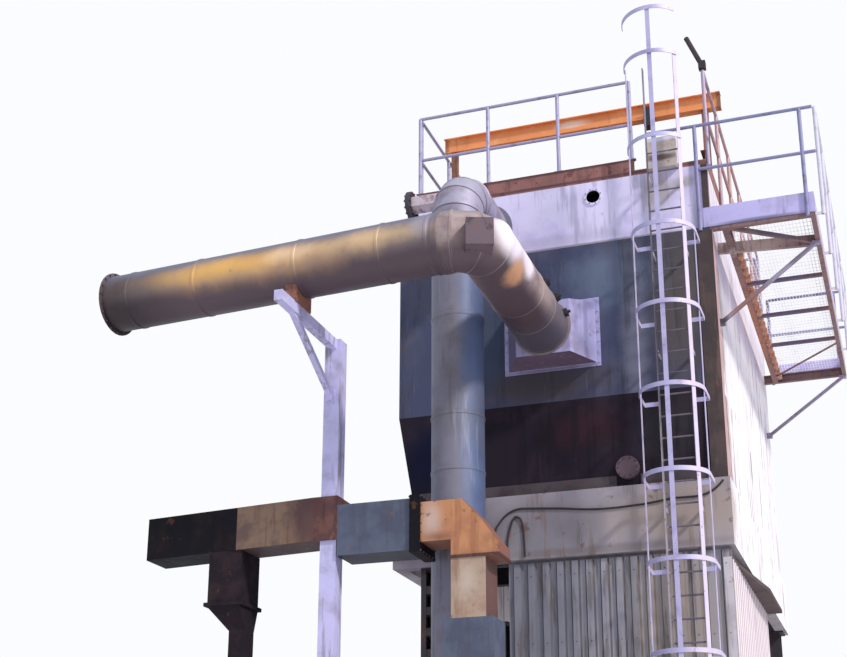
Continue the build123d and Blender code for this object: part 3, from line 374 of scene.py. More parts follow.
def streakGroup():
    # rain streaks: noise on x, y and a small share of z, so each spot is drawn out downwards, plus slow noise
    drawnOut, breaks = (1.0, 1.0, 0.08), {"scale": 1.7, "share": 0.35, "detail": 2.0, "rough": 0.5}
    tree, take, give = newGroup("streaks", cuts, masks)
    drawn = arrow(tree, "MULTIPLY", take["Where"], drawnOut)
    noise = cloud(tree, drawn, take["Scale"], detail=4.0, rough=0.65)
    value = shaken(tree, noise, take["Where"], **breaks)
    top = count(tree, "ADD", take["Level"], take["Softness"])
    feed(tree, give["Mask"], smooth(tree, value, take["Level"], top))


def spotGroup():
    # a ragged patch at a place, used for stains and also for painted highlights and shade: mask = 1 -
    # S(length((where - centre) / size) + ragged * (noise - 0.5))
    tree, take, give = newGroup("spot", {
        "Where": somewhere, "Centre": somewhere, "Size": (1.0, 1.0, 1.0),
        "Ragged": 0.6, "Grain": 5.0, "Core": 0.6,
    }, masks)
    rim = 1.05
    away = arrow(tree, "SUBTRACT", take["Where"], take["Centre"])
    reach = arrow(tree, "LENGTH", arrow(tree, "DIVIDE", away, take["Size"]), somewhere)
    edge = shaken(tree, reach, take["Where"], take["Grain"], take["Ragged"])
    feed(tree, give["Mask"], count(tree, "SUBTRACT", 1.0, smooth(tree, edge, take["Core"], rim)))


def facingGroup():
    # how far a surface faces a direction, used for painted light and shade: mask = S((n . d + ragged * (noise
    # - 0.5) - low) / (high - low))
    tree, take, give = newGroup("facing", {
        "Normal": somewhere, "Direction": somewhere, "Low": 0.2, "High": 0.8,
        "Where": somewhere, "Ragged": 0.3,
    }, masks)
    toward = arrow(tree, "DOT_PRODUCT", take["Normal"], take["Direction"])
    value = shaken(tree, toward, take["Where"], scale=2.2, share=take["Ragged"])
    feed(tree, give["Mask"], smooth(tree, value, take["Low"], take["High"]))


def coatGroup():
    # one coat of colour: below + mask * strength * (shade - below); the mix node takes colours on 6 and 7
    takes = {"Below": white, "Shade": white, "Mask": 0.0, "Strength": 1.0}
    tree, take, give = newGroup("coat", takes, {"Colour": white})
    node = tree.nodes.new("ShaderNodeMix")
    node.data_type = "RGBA"
    feed(tree, node.inputs[0], count(tree, "MULTIPLY", take["Mask"], take["Strength"]))
    feed(tree, node.inputs[6], take["Below"])
    feed(tree, node.inputs[7], take["Shade"])
    feed(tree, give["Colour"], node.outputs[2])


def grainGroup():
    # relief = fine noise + swell * coarse noise; colour = below * (1 + fleck * (coarse - 0.5));
    # roughness = low + coarse * (high - low)
    swell, coarser = 4.0, 0.06
    tree, take, give = newGroup("grain", {
        "Where": somewhere, "Scale": 60.0, "Below": white, "Fleck": 0.25, "Low": 0.5, "High": 0.8,
    }, {"Colour": white, "Roughness": 0.5, "Height": 0.0})
    fine = cloud(tree, take["Where"], take["Scale"], detail=3.0, rough=0.6)
    coarseScale = count(tree, "MULTIPLY", take["Scale"], coarser)
    coarse = cloud(tree, take["Where"], coarseScale, detail=3.0, rough=0.5)
    dull = count(tree, "SUBTRACT", 1.0, count(tree, "MULTIPLY", take["Fleck"], 0.5))
    shine = count(tree, "SUBTRACT", take["High"], take["Low"])
    share = count(tree, "MULTIPLY_ADD", coarse, take["Fleck"], dull)
    feed(tree, give["Colour"], arrow(tree, "SCALE", take["Below"], share))
    feed(tree, give["Roughness"], count(tree, "MULTIPLY_ADD", coarse, shine, take["Low"]))
    feed(tree, give["Height"], count(tree, "MULTIPLY_ADD", coarse, swell, fine))


for makeGroup in (blotchGroup, streakGroup, spotGroup, facingGroup, coatGroup, grainGroup):
    makeGroup()


def useGroup(tree, key, **values):
    # a node that uses one of the groups; gives its outputs
    node = tree.nodes.new("ShaderNodeGroup")
    node.node_tree = groups[key]
    for label, value in values.items():
        feed(tree, node.inputs[label], value)
    return node.outputs


coating = {
    "grain": 60.0, "fleck": 0.25, "depth": 0.002, "patchGrain": 4.0, "patchCore": 0.25, "facingRagged": 0.3,
    "markSide": (0.5, 0.8, 0.0),  # low, high, raggedness
    "markSpot": (0.5, 5.0, 0.6),  # raggedness, grain, core
}


def makeFinish(name, look):
    # coats from the bottom up: base, second, facing (painted light and shade), patches, streaks, marks and
    # rust, then grain and relief
    finish = bpy.data.materials.new(name)
    finish.use_nodes = True
    tree = finish.node_tree
    surface = tree.nodes["Principled BSDF"]
    where = tree.nodes.new("ShaderNodeTexCoord").outputs["Object"]
    normal = tree.nodes.new("ShaderNodeNewGeometry").outputs["Normal"]
    grain, core = look.get("patchGrain", coating["patchGrain"]), look.get("patchCore", coating["patchCore"])
    coats = []  # rows of colour, strength and the masks that are multiplied: a group and what goes into it

    def cut(kind, scale, level, soft):
        # blotches or streaks
        return kind, {"Where": where, "Scale": scale, "Level": level, "Softness": soft}

    def toward(direction, low, high, ragged=coating["facingRagged"]):
        # faces that look one way, for painted light and shade
        return "facing", {
            "Normal": normal, "Direction": direction, "Low": low, "High": high,
            "Where": where, "Ragged": ragged,
        }

    def near(centre, size, ragged, grain, core):
        # a patch at one place: stains, and in some finishes painted highlights and shade
        return "spot", {
            "Where": where, "Centre": tuple(at(*centre)), "Size": size,
            "Ragged": ragged, "Grain": grain, "Core": core,
        }

    shade, *spread = look["second"]
    coats.append((shade, 1.0, [cut("blotches", *spread)]))
    for shade, direction, low, high, strength in look.get("facing", []):
        coats.append((shade, strength, [toward(direction, low, high)]))
    for shade, centre, size, strength, ragged in look.get("patches", []):
        coats.append((shade, strength, [near(centre, size, ragged, grain, core)]))
    for shade, scale, level, soft, strength in look.get("streaks", []):
        coats.append((shade, strength, [cut("streaks", scale, level, soft)]))
    for shade, scale, level, soft, strength, side, *spot in look.get("marks", []):
        parts = [cut("streaks", scale, level, soft), toward(side, *coating["markSide"])]
        if spot:
            parts.append(near(*spot, *coating["markSpot"]))
        coats.append((shade, strength, parts))
    for shade, scale, level, soft, strength in look.get("rust", []):
        coats.append((shade, strength, [cut("blotches", scale, level, soft)]))

    colour = tone(*look["base"])
    for shade, strength, parts in coats:
        mask, *others = [useGroup(tree, kind, **values)["Mask"] for kind, values in parts]
        for other in others:
            mask = count(tree, "MULTIPLY", mask, other)
        coat = useGroup(tree, "coat", Below=colour, Shade=tone(*shade), Mask=mask, Strength=strength)
        colour = coat["Colour"]
    low, high = look["rough"]
    skin = useGroup(
        tree, "grain", Where=where, Scale=coating["grain"], Below=colour, Fleck=coating["fleck"],
        Low=low, High=high,
    )
    bump = tree.nodes.new("ShaderNodeBump")
    bump.inputs["Strength"].default_value = look["relief"]
    bump.inputs["Distance"].default_value = coating["depth"]
    feed(tree, bump.inputs["Height"], skin["Height"])
    feed(tree, surface.inputs["Base Color"], skin["Colour"])
    feed(tree, surface.inputs["Roughness"], skin["Roughness"])
    feed(tree, surface.inputs["Normal"], bump.outputs[0])
    surface.inputs["Metallic"].default_value = look.get("metallic", 0.0)
    surface.inputs["Specular IOR Level"].default_value = look.get("specular", 0.5)
    return finish


# Colours are screen colours from 0 to 255, and places are measured from the middle of the front face. Rows:
# second: colour, scale, level, softness
# facing: colour, direction, low, high, strength; these rows paint light and shade on faces turned one way
# patches: colour, centre, size, strength, raggedness
# streaks and rust: colour, scale, level, softness, strength
# marks: colour, scale, level, softness, strength, direction, and for some centre and size
brownRust = (112, 66, 44)
palePanel = (226, 216, 248)
# sunlitSheet is painted sunlight, laid by facing rows on faces turned to the right
sunlitSheet = (252, 242, 248)
rightSide = (1.0, 0.0, 0.0)
underSide = (0.0, 0.0, -1.0)

finishes = {
    "casingPaint": {
        "base": (64, 68, 98), "second": ((80, 80, 104), 1.1, 0.46, 0.22),
        "patches": [
            ((86, 76, 76), (1.55, 0.0, 8.2), (0.62, 1.2, 1.5), 0.95, 0.5),
            ((104, 116, 140), (0.7, 0.0, 8.55), (0.85, 1.0, 0.5), 0.7, 1.0),
            ((70, 56, 52), (-0.1, 0.0, 7.3), (1.0, 1.0, 0.35), 0.7, 0.8),
            ((52, 70, 92), (-0.75, 0.0, 7.9), (0.3, 1.0, 0.7), 0.6, 0.7),
            ((112, 112, 132), (0.98, 0.0, 7.7), (0.25, 1.0, 1.2), 0.8, 0.8),
        ],
        "streaks": [((52, 50, 62), 7.0, 0.52, 0.16, 0.6), ((110, 106, 118), 11.0, 0.6, 0.12, 0.35)],
        # painted sunlight: faces turned to the right are laid near-white
        "facing": [(sunlitSheet, rightSide, 0.5, 0.8, 0.95)],
        "marks": [
            ((150, 112, 104), 9.0, 0.44, 0.14, 0.8, rightSide, (1.9, 0.2, 8.0), (1.0, 0.55, 2.0)),
            ((222, 206, 226), 5.0, 0.5, 0.2, 0.6, rightSide),
            # painted shadow of the platform on the right wall, just under its deck
            ((196, 186, 220), 4.0, 0.3, 0.2, 0.6, rightSide, (1.9, 2.4, 8.85), (1.0, 3.2, 0.3)),
        ],
        "rust": [((86, 58, 50), 5.0, 0.62, 0.08, 0.4)],
        "rough": (0.55, 0.9), "relief": 0.3,
    },
    "hopperPaint": {
        # the dark base is partly the hopper's own paint and partly painted shade of its downward-facing sheet
        "base": (38, 30, 42), "second": ((50, 38, 50), 1.6, 0.46, 0.18),
        "patches": [
            ((72, 38, 46), (0.35, 0.0, 6.7), (0.55, 1.5, 0.32), 0.45, 0.9),
            ((60, 58, 62), (1.3, 0.0, 6.6), (0.5, 1.5, 0.5), 0.6, 0.8),
            ((24, 28, 58), (-1.5, 0.0, 6.5), (0.45, 2.0, 0.6), 0.9, 0.6),
        ],
        "streaks": [((28, 24, 32), 8.0, 0.5, 0.18, 0.6)],
        # painted sunlight: faces turned to the right are laid near-white
        "facing": [(sunlitSheet, rightSide, 0.5, 0.8, 0.95)],
        "marks": [
            ((146, 106, 98), 8.0, 0.42, 0.14, 0.85, rightSide, (1.9, 0.15, 6.6), (1.0, 0.6, 1.4)),
            ((228, 210, 218), 6.0, 0.5, 0.2, 0.6, rightSide),
        ],
        "rust": [((86, 50, 50), 6.0, 0.64, 0.08, 0.3)],
        "specular": 0.15, "rough": (0.6, 0.92), "relief": 0.35,
    },
    "postBrown": {
        "base": (66, 54, 55), "second": ((84, 66, 64), 3.0, 0.46, 0.2),
        # painted sunlight on the faces turned to the right
        "facing": [((212, 170, 172), rightSide, 0.5, 0.8, 0.8)],
        "streaks": [((44, 38, 42), 10.0, 0.52, 0.16, 0.6), ((120, 92, 82), 13.0, 0.6, 0.1, 0.5)],
        "rust": [((112, 66, 52), 7.0, 0.62, 0.08, 0.5)],
        "rough": (0.6, 0.92), "relief": 0.35,
    },
    "ledgePaint": {
        "base": (82, 70, 76), "second": ((62, 50, 58), 3.0, 0.46, 0.2),
        "rust": [((104, 64, 54), 8.0, 0.6, 0.08, 0.5)],
        "rough": (0.6, 0.92), "relief": 0.35,
    },
    "plenumPanel": {
        "base": palePanel, "second": ((212, 200, 240), 2.2, 0.48, 0.2),
        # painted sunlight on the faces turned to the right
        "facing": [((240, 230, 236), rightSide, 0.5, 0.8, 0.95)],
        "patches": [
            ((168, 156, 150), (1.30, 0.0, 9.55), (0.26, 0.6, 0.34), 0.8, 0.7),
            ((160, 152, 138), (1.62, 0.0, 9.62), (0.18, 0.6, 0.12), 0.7, 0.7),
            ((176, 166, 196), (0.0, 0.0, 9.10), (1.4, 0.6, 0.12), 0.5, 0.8),
            ((120, 100, 104), (0.2, 0.0, 9.005), (2.2, 0.6, 0.03), 0.75, 0.5),
        ],
        "streaks": [((156, 150, 176), 9.0, 0.52, 0.16, 0.55), ((136, 126, 146), 16.0, 0.62, 0.1, 0.4)],
        "rust": [((140, 104, 92), 7.0, 0.68, 0.06, 0.3)],
        "rough": (0.5, 0.8), "relief": 0.2,
    },
    "bandPaint": {
        "base": (168, 158, 168), "second": ((154, 144, 154), 2.0, 0.45, 0.2),
        # painted sunlight on the faces turned to the right
        "facing": [(sunlitSheet, rightSide, 0.5, 0.8, 0.95)],
        "patches": [
            # painted shade: these two patches darken the left part of the band, dark on the left and lighter
            # to the right
            ((96, 86, 104), (-1.5, 0.0, 5.6), (1.1, 0.6, 0.8), 0.95, 0.5),
            ((118, 114, 122), (-0.2, 0.0, 5.6), (1.0, 0.6, 0.6), 0.6, 0.6),
            ((164, 146, 136), (1.4, 0.0, 5.65), (1.2, 0.6, 0.5), 0.8, 0.6),
            # painted shadow along the lower edge of the band
            ((112, 98, 94), (0.6, 0.0, 5.29), (1.8, 0.6, 0.08), 0.5, 0.7),
        ],
        "streaks": [((124, 104, 92), 9.0, 0.54, 0.12, 0.6), ((96, 82, 78), 15.0, 0.62, 0.08, 0.4)],
        "rust": [(brownRust, 6.0, 0.62, 0.06, 0.6)],
        "rough": (0.55, 0.85), "relief": 0.3,
    },
    "roofRust": {
        "base": (150, 102, 96), "second": ((132, 86, 86), 4.0, 0.48, 0.2),
        "patches": [
            # painted shade: dark lines along the top and the foot of the roof-edge channel, where its flanges
            # would shade the web
            ((84, 50, 54), (0.0, 0.0, 10.015), (3.4, 0.2, 0.03), 0.9, 0.4),
            ((92, 60, 64), (0.0, 0.0, 9.845), (3.4, 0.2, 0.025), 0.9, 0.4),
        ],
        "streaks": [((96, 60, 60), 14.0, 0.5, 0.16, 0.5)],
        "rust": [((90, 44, 40), 9.0, 0.56, 0.1, 0.7)],
        "rough": (0.65, 0.92), "relief": 0.4,
    },
    "rustSteel": {
        "base": (146, 96, 78), "second": ((122, 80, 70), 5.0, 0.46, 0.2),
        "streaks": [((96, 58, 50), 18.0, 0.52, 0.14, 0.6)],
        "rust": [((88, 52, 46), 11.0, 0.58, 0.08, 0.6), ((196, 150, 128), 8.0, 0.64, 0.08, 0.5)],
        "rough": (0.6, 0.92), "relief": 0.4,
    },
    "platformSteel": {
        "base": (132, 104, 104), "second": ((116, 92, 100), 5.0, 0.46, 0.2),
        "patches": [
            ((176, 154, 148), (2.2, 0.68, 9.02), (0.75, 0.2, 0.2), 0.95, 0.3),
            *(((92, 80, 112), (2.5, y, 8.97), (0.62, 0.10, 0.1), 0.9, 0.2) for y in (1.7, 2.79, 3.88)),
            ((182, 118, 84), (2.04, 3.2, 9.02), (0.09, 2.9, 0.2), 0.95, 0.3),
            ((74, 72, 96), (2.6, 0.35, 8.98), (0.48, 0.3, 0.05), 0.8, 0.3),
            ((190, 140, 126), (3.16, 2.4, 8.98), (0.1, 3.0, 0.2), 0.85, 0.3),
        ],
        # painted sunlight on the faces turned to the right
        "facing": [((226, 178, 160), rightSide, 0.6, 0.9, 0.45)],
        "streaks": [((84, 56, 60), 18.0, 0.52, 0.14, 0.5)],
        "rust": [((98, 58, 48), 11.0, 0.58, 0.08, 0.5), ((206, 156, 134), 9.0, 0.66, 0.06, 0.5)],
        "rough": (0.6, 0.92), "relief": 0.4,
    },
    "kneeSteel": {
        "base": (150, 140, 164), "second": ((126, 112, 130), 5.0, 0.46, 0.2),
        "patches": [
            ((128, 84, 72), (2.2, 0.3, 8.15), (0.42, 0.4, 0.42), 0.9, 0.3),
            ((56, 46, 48), (1.95, 0.2, 7.9), (0.1, 0.12, 0.12), 0.9, 0.2),
        ],
        "rust": [((120, 82, 70), 11.0, 0.6, 0.08, 0.5)],
        "rough": (0.55, 0.85), "relief": 0.35,
    },
    "stubPale": {
        "base": (206, 188, 200), "second": ((160, 132, 136), 6.0, 0.48, 0.2),
        "patches": [((44, 42, 56), (-1.36, -1.1, 9.27), (0.045, 0.5, 0.5), 0.95, 0.2)],
        "patchCore": 0.7,
        "rust": [((120, 78, 70), 9.0, 0.58, 0.08, 0.6)],
        "rough": (0.5, 0.8), "relief": 0.3,
    },
    "fasciaZinc": {
        "base": (194, 184, 232), "second": ((178, 168, 210), 4.0, 0.48, 0.2),
        # a dark line along the foot of the toe board, partly painted shade and partly rust
        "patches": [((96, 92, 122), (2.45, 0.0, 9.0), (0.7, 0.05, 0.045), 0.8, 0.3)],
        "streaks": [((140, 132, 156), 14.0, 0.56, 0.12, 0.5)],
        "rust": [((146, 112, 108), 12.0, 0.66, 0.06, 0.5)],
        "rough": (0.45, 0.75), "metallic": 0.15, "relief": 0.2,
    },
    "paleZinc": {
        "base": (196, 190, 212), "second": ((176, 168, 192), 6.0, 0.5, 0.2),
        "rust": [((150, 116, 108), 14.0, 0.64, 0.06, 0.6)],
        "rough": (0.4, 0.7), "metallic": 0.25, "relief": 0.2,
    },
    "paleTube": {
        "base": (168, 162, 196), "second": ((140, 130, 158), 6.0, 0.5, 0.2),
        # painted sunlight: a pink glow on the rail along the right side of the roof
        "patches": [((208, 160, 152), (1.92, 2.8, 10.6), (0.15, 4.0, 1.4), 0.85, 0.6)],
        "rust": [((132, 96, 96), 12.0, 0.6, 0.06, 0.6)],
        "rough": (0.4, 0.7), "metallic": 0.2, "relief": 0.2,
    },
    # painted shade: the end rails of the platform, a shaded copy of the same tube as the outer rail
    "shadedRailTube": {
        "base": (142, 140, 178), "second": ((112, 108, 142), 6.0, 0.5, 0.2),
        "rust": [((132, 96, 96), 12.0, 0.62, 0.06, 0.6)],
        "rough": (0.4, 0.7), "metallic": 0.2, "relief": 0.2,
    },
    # painted sunlight: the outer rail of the platform, a sunlit copy of the same tube as the end rails
    "sunlitRailTube": {
        "base": (216, 210, 226), "second": ((196, 188, 206), 6.0, 0.5, 0.2),
        "rust": [((176, 140, 136), 12.0, 0.64, 0.06, 0.5)],
        "rough": (0.45, 0.75), "relief": 0.2,
    },
    "cageZinc": {
        "base": (186, 178, 216), "second": ((166, 156, 196), 5.0, 0.5, 0.2),
        # painted highlight on faces turned toward the sun
        "facing": [((236, 216, 228), (0.8, -0.4, 0.3), 0.5, 0.95, 0.6)],
        "rust": [((152, 120, 118), 12.0, 0.62, 0.06, 0.6)],
        "rough": (0.4, 0.7), "metallic": 0.15, "relief": 0.2,
    },
    "ladderDull": {
        "base": (112, 104, 116), "second": ((92, 84, 94), 5.0, 0.48, 0.2),
        "patches": [
            # painted highlight: a pale strip down the left stringer
            ((214, 200, 208), (1.25, -0.25, 5.2), (0.05, 0.2, 2.2), 0.8, 0.3),
            ((168, 160, 184), (1.44, -0.25, 10.6), (0.4, 0.3, 0.9), 0.7, 0.4),
        ],
        "rust": [((112, 82, 78), 10.0, 0.58, 0.08, 0.6)],
        "rough": (0.45, 0.75), "metallic": 0.15, "relief": 0.25,
    },
    "gratingZinc": {
        "base": (244, 240, 248), "second": ((226, 220, 232), 6.0, 0.5, 0.2),
        "rust": [((206, 180, 174), 9.0, 0.66, 0.06, 0.4)],
        "rough": (0.45, 0.75), "metallic": 0.15, "relief": 0.2,
    },
    "clipRust": {
        "base": (206, 150, 126), "second": ((180, 116, 88), 9.0, 0.46, 0.2),
        # painted sunlight on the faces turned to the right
        "facing": [((240, 206, 196), rightSide, 0.5, 0.9, 0.8)],
        "rust": [((140, 84, 66), 14.0, 0.6, 0.08, 0.6)],
        "rough": (0.6, 0.9), "relief": 0.35,
    },
    "boltSteel": {
        "base": (78, 70, 76), "second": ((104, 84, 80), 14.0, 0.48, 0.2),
        "rust": [((112, 70, 56), 20.0, 0.58, 0.08, 0.6)],
        "rough": (0.5, 0.85), "metallic": 0.3, "relief": 0.3,
    },
    # painted shade: near-black finish of the cup that fills the port with shade
    "portShade": {
        "base": (14, 12, 16), "second": ((30, 22, 26), 14.0, 0.5, 0.2),
        "specular": 0.15, "rough": (0.8, 0.98), "relief": 0.2,
    },
    # painted sunlight: a pale copy of the front cladding for the sunlit sides, whitened further on faces
    # turned to the right
    "claddingSide": {
        "base": (196, 180, 182), "second": ((182, 164, 172), 1.4, 0.45, 0.25),
        "facing": [((246, 230, 240), rightSide, 0.6, 0.9, 0.9)],
        "streaks": [((186, 162, 170), 14.0, 0.54, 0.14, 0.5), ((222, 206, 214), 20.0, 0.6, 0.1, 0.4)],
        "rough": (0.5, 0.8), "relief": 0.2,
    },
    "claddingSheet": {
        "base": (160, 156, 166), "second": ((146, 142, 156), 1.4, 0.45, 0.25),
        # painted shade: the rib slopes turned right and left are darkened, so the grooves read dark
        "facing": [
            ((88, 80, 82), rightSide, 0.4, 0.8, 0.9), ((84, 78, 80), (-1.0, 0.0, 0.0), 0.4, 0.8, 0.9),
        ],
        "patches": [
            ((116, 116, 130), (-0.4, 0.0, 4.5), (0.7, 1.0, 1.6), 0.6, 0.5),
            # painted shadow: a thin dark line under the band above the cladding
            ((70, 60, 66), (0.7, 0.0, 5.225), (1.8, 0.5, 0.035), 0.85, 0.3),
            ((160, 140, 124), (1.3, 0.0, 4.4), (0.7, 1.0, 1.4), 0.5, 0.5),
        ],
        "streaks": [((96, 84, 80), 14.0, 0.52, 0.14, 0.6), ((176, 166, 160), 20.0, 0.6, 0.1, 0.4)],
        "rough": (0.5, 0.8), "relief": 0.2,
    },
    "darkSteel": {
        "base": (48, 42, 50), "second": ((66, 50, 50), 5.0, 0.48, 0.2),
        "rust": [((92, 56, 46), 10.0, 0.6, 0.08, 0.6)],
        "rough": (0.55, 0.9), "relief": 0.35,
    },
    "hatchSteel": {
        "base": (104, 86, 96), "second": ((60, 46, 52), 6.0, 0.5, 0.16),
        "rust": [((124, 84, 66), 9.0, 0.6, 0.08, 0.6)],
        "rough": (0.5, 0.8), "relief": 0.3,
    },
    "ductHeatStain": {
        "base": (122, 108, 110), "second": ((134, 116, 108), 1.6, 0.46, 0.2),
        # painted light: the top is laid lilac-grey, and the underside gets a painted purple-brown shade
        "facing": [
            ((112, 112, 134), (0.0, 0.0, 1.0), 0.2, 0.75, 0.9),
            ((84, 66, 76), underSide, 0.12, 0.62, 0.95),
        ],
        "patches": [
            # the four gold patches are partly painted sheen of sunlight along the lit upper side and partly
            # the duct's own golden tint
            ((216, 168, 122), (-2.2, -2.7, 7.82), (2.1, 1.0, 0.25), 0.9, 0.5),
            ((240, 184, 100), (-2.7, -2.7, 7.86), (1.25, 1.0, 0.18), 0.95, 0.5),
            ((250, 214, 176), (-1.95, -2.7, 7.88), (0.45, 1.0, 0.15), 0.9, 0.5),
            ((236, 198, 152), (-1.05, -2.8, 7.88), (0.95, 1.0, 0.17), 0.9, 0.6),
            ((40, 26, 28), (-4.1, -2.6, 7.66), (1.0, 0.8, 0.5), 0.95, 0.7),
            # painted highlight: a lilac gleam near the elbow
            ((168, 162, 184), (-0.5, -2.9, 7.92), (0.2, 0.7, 0.2), 0.8, 0.5),
        ],
        "patchCore": 0.05, "patchGrain": 3.0,
        "rust": [((96, 66, 64), 6.0, 0.64, 0.08, 0.4)],
        "rough": (0.4, 0.65), "metallic": 0.25, "relief": 0.2,
    },
    "elbowSheet": {
        "base": (178, 156, 152), "second": ((146, 124, 126), 2.4, 0.46, 0.2),
        # painted light: a grey-blue top and a painted purple-brown shade underneath
        "facing": [
            ((122, 120, 134), (0.0, 0.0, 1.0), 0.5, 0.9, 0.8),
            ((84, 64, 74), (0.1, -0.1, -0.98), 0.3, 0.8, 0.92),
        ],
        "patches": [
            ((100, 94, 108), (0.0, -0.75, 7.82), (0.6, 0.72, 0.6), 0.9, 0.4),
            # painted highlight: the two near-white patches on the sunlit side of the bend
            ((250, 236, 246), (0.27, -2.64, 7.91), (0.22, 0.44, 0.32), 1.0, 0.3),
            ((250, 236, 246), (0.31, -2.14, 7.84), (0.14, 0.30, 0.21), 1.0, 0.4),
            ((232, 172, 130), (0.19, -2.36, 7.66), (0.2, 0.24, 0.19), 0.9, 0.7),
        ],
        "patchCore": 0.42, "patchGrain": 4.0,
        "rust": [((120, 70, 60), 7.0, 0.64, 0.08, 0.4)],
        "rough": (0.4, 0.65), "metallic": 0.2, "relief": 0.2,
    },
    "outletZinc": {
        "base": (128, 124, 140), "second": ((114, 108, 118), 2.4, 0.46, 0.22),
        # painted shade: the side turned to the right is laid dark blue
        "facing": [((78, 98, 140), (0.9, -0.3, 0.0), 0.45, 0.95, 0.8)],
        "patches": [((96, 92, 96), (-0.8, -1.1, 6.6), (0.5, 0.5, 0.7), 0.6, 0.7)],
        "streaks": [((92, 84, 92), 12.0, 0.54, 0.14, 0.5), ((156, 160, 180), 9.0, 0.6, 0.12, 0.4)],
        "rough": (0.4, 0.65), "metallic": 0.25, "relief": 0.2,
    },
    "outletElbowZinc": {
        "base": (168, 160, 184), "second": ((142, 130, 144), 3.0, 0.46, 0.2),
        # painted light: a pale highlight on the top and a painted shade underneath
        "facing": [
            ((176, 172, 188), (0.2, -0.3, 0.93), 0.5, 0.95, 0.8),
            ((92, 78, 86), (0.0, -0.4, -0.9), 0.1, 0.8, 0.8),
        ],
        "rust": [((120, 84, 78), 7.0, 0.6, 0.08, 0.4)],
        "rough": (0.4, 0.65), "metallic": 0.2, "relief": 0.2,
    },
    "hoodWhite": {
        "base": (176, 170, 214), "second": ((156, 146, 182), 3.0, 0.48, 0.2),
        # painted shade on the underside and on faces turned to the left
        "facing": [
            ((112, 88, 108), underSide, 0.4, 0.9, 0.95),
            ((92, 84, 108), (-1.0, 0.0, 0.0), 0.15, 0.5, 0.95),
        ],
        "patches": [((118, 106, 124), (0.0, 0.0, 7.475), (0.75, 0.03, 0.03), 0.85, 0.3)],
        "streaks": [((148, 134, 156), 12.0, 0.54, 0.12, 0.5)],
        "rust": [((132, 92, 92), 8.0, 0.64, 0.06, 0.5)],
        "rough": (0.45, 0.7), "relief": 0.2,
    },
    "stripCream": {
        "base": (206, 198, 206), "second": ((184, 174, 182), 3.0, 0.48, 0.2),
        # painted sunlight on the faces turned to the right
        "facing": [(sunlitSheet, rightSide, 0.5, 0.8, 0.9)],
        "streaks": [((150, 132, 132), 12.0, 0.54, 0.12, 0.5)],
        "rust": [((132, 92, 82), 8.0, 0.64, 0.06, 0.5)],
        "rough": (0.5, 0.75), "relief": 0.2,
    },
    "beamOrange": {
        "base": (234, 150, 92), "second": ((238, 172, 124), 3.0, 0.5, 0.2),
        "patches": [
            ((246, 222, 206), (0.05, 1.2, 11.36), (0.3, 0.2, 0.07), 0.9, 0.6),
            ((110, 70, 62), (1.97, 1.2, 11.3), (0.06, 0.3, 0.3), 0.8, 0.3),
            ((150, 96, 76), (-1.69, 1.2, 11.3), (0.05, 0.3, 0.3), 0.8, 0.3),
        ],
        "streaks": [((186, 112, 72), 10.0, 0.54, 0.14, 0.5)],
        "rust": [((140, 88, 66), 9.0, 0.66, 0.06, 0.5)],
        "rough": (0.45, 0.75), "relief": 0.25,
    },
    "elbowOrange": {
        "base": (190, 130, 90), "second": ((172, 116, 84), 3.5, 0.46, 0.2),
        # painted shade on the underside and on faces turned to the right
        "facing": [((112, 74, 64), underSide, 0.4, 0.9, 0.8), ((122, 78, 70), rightSide, 0.5, 0.8, 0.85)],
        "patches": [
            ((196, 176, 172), (-0.84, -1.87, 5.28), (0.16, 0.3, 0.30), 0.7, 0.6),
            ((120, 74, 60), (-0.75, -1.87, 5.1), (0.28, 0.4, 0.08), 0.7, 0.6),
        ],
        "patchCore": 0.0,
        "streaks": [((148, 92, 66), 12.0, 0.54, 0.14, 0.6)],
        "rust": [((116, 66, 50), 8.0, 0.62, 0.07, 0.6)],
        "rough": (0.5, 0.8), "relief": 0.3,
    },
    "legTan": {
        "base": (172, 146, 128), "second": ((156, 126, 108), 4.0, 0.48, 0.2),
        # painted shade on the faces turned to the right
        "facing": [((96, 64, 62), rightSide, 0.5, 0.8, 0.95)],
        "patches": [((196, 178, 166), (-0.47, -1.87, 4.62), (0.16, 0.3, 0.26), 0.6, 0.5)],
        "patchCore": 0.0,
        "streaks": [((136, 96, 74), 14.0, 0.54, 0.14, 0.6)],
        "rust": [((124, 82, 62), 9.0, 0.62, 0.07, 0.5)],
        "rough": (0.5, 0.8), "relief": 0.25,
    },
    "brownDuct": {
        "base": (132, 104, 86), "second": ((100, 76, 72), 2.6, 0.44, 0.2),
        # painted shade on the underside
        "facing": [((60, 42, 46), underSide, 0.4, 0.9, 0.9)],
        "patches": [((74, 42, 48), (-2.2, -1.87, 5.4), (0.3, 0.5, 0.5), 0.8, 0.7)],
        "streaks": [((92, 58, 50), 10.0, 0.52, 0.14, 0.6)],
        "rust": [((150, 114, 84), 5.0, 0.6, 0.08, 0.4)],
        "rough": (0.55, 0.85), "relief": 0.3,
    },
    "blackDuct": {
        "base": (20, 18, 26), "second": ((36, 26, 28), 2.4, 0.46, 0.2),
        "streaks": [((14, 12, 18), 10.0, 0.5, 0.16, 0.6)],
        "rust": [((104, 66, 50), 6.0, 0.62, 0.07, 0.5)],
        "specular": 0.15, "rough": (0.55, 0.85), "relief": 0.3,
    },
    "slateDuct": {
        "base": (84, 90, 110), "second": ((72, 76, 98), 2.8, 0.46, 0.2),
        # painted shade on the underside
        "facing": [((52, 46, 58), underSide, 0.4, 0.9, 0.9)],
        "streaks": [((70, 68, 82), 12.0, 0.52, 0.14, 0.5)],
        "rust": [((110, 84, 76), 7.0, 0.64, 0.06, 0.5)],
        "rough": (0.5, 0.8), "relief": 0.25,
    },
    "redPrimer": {
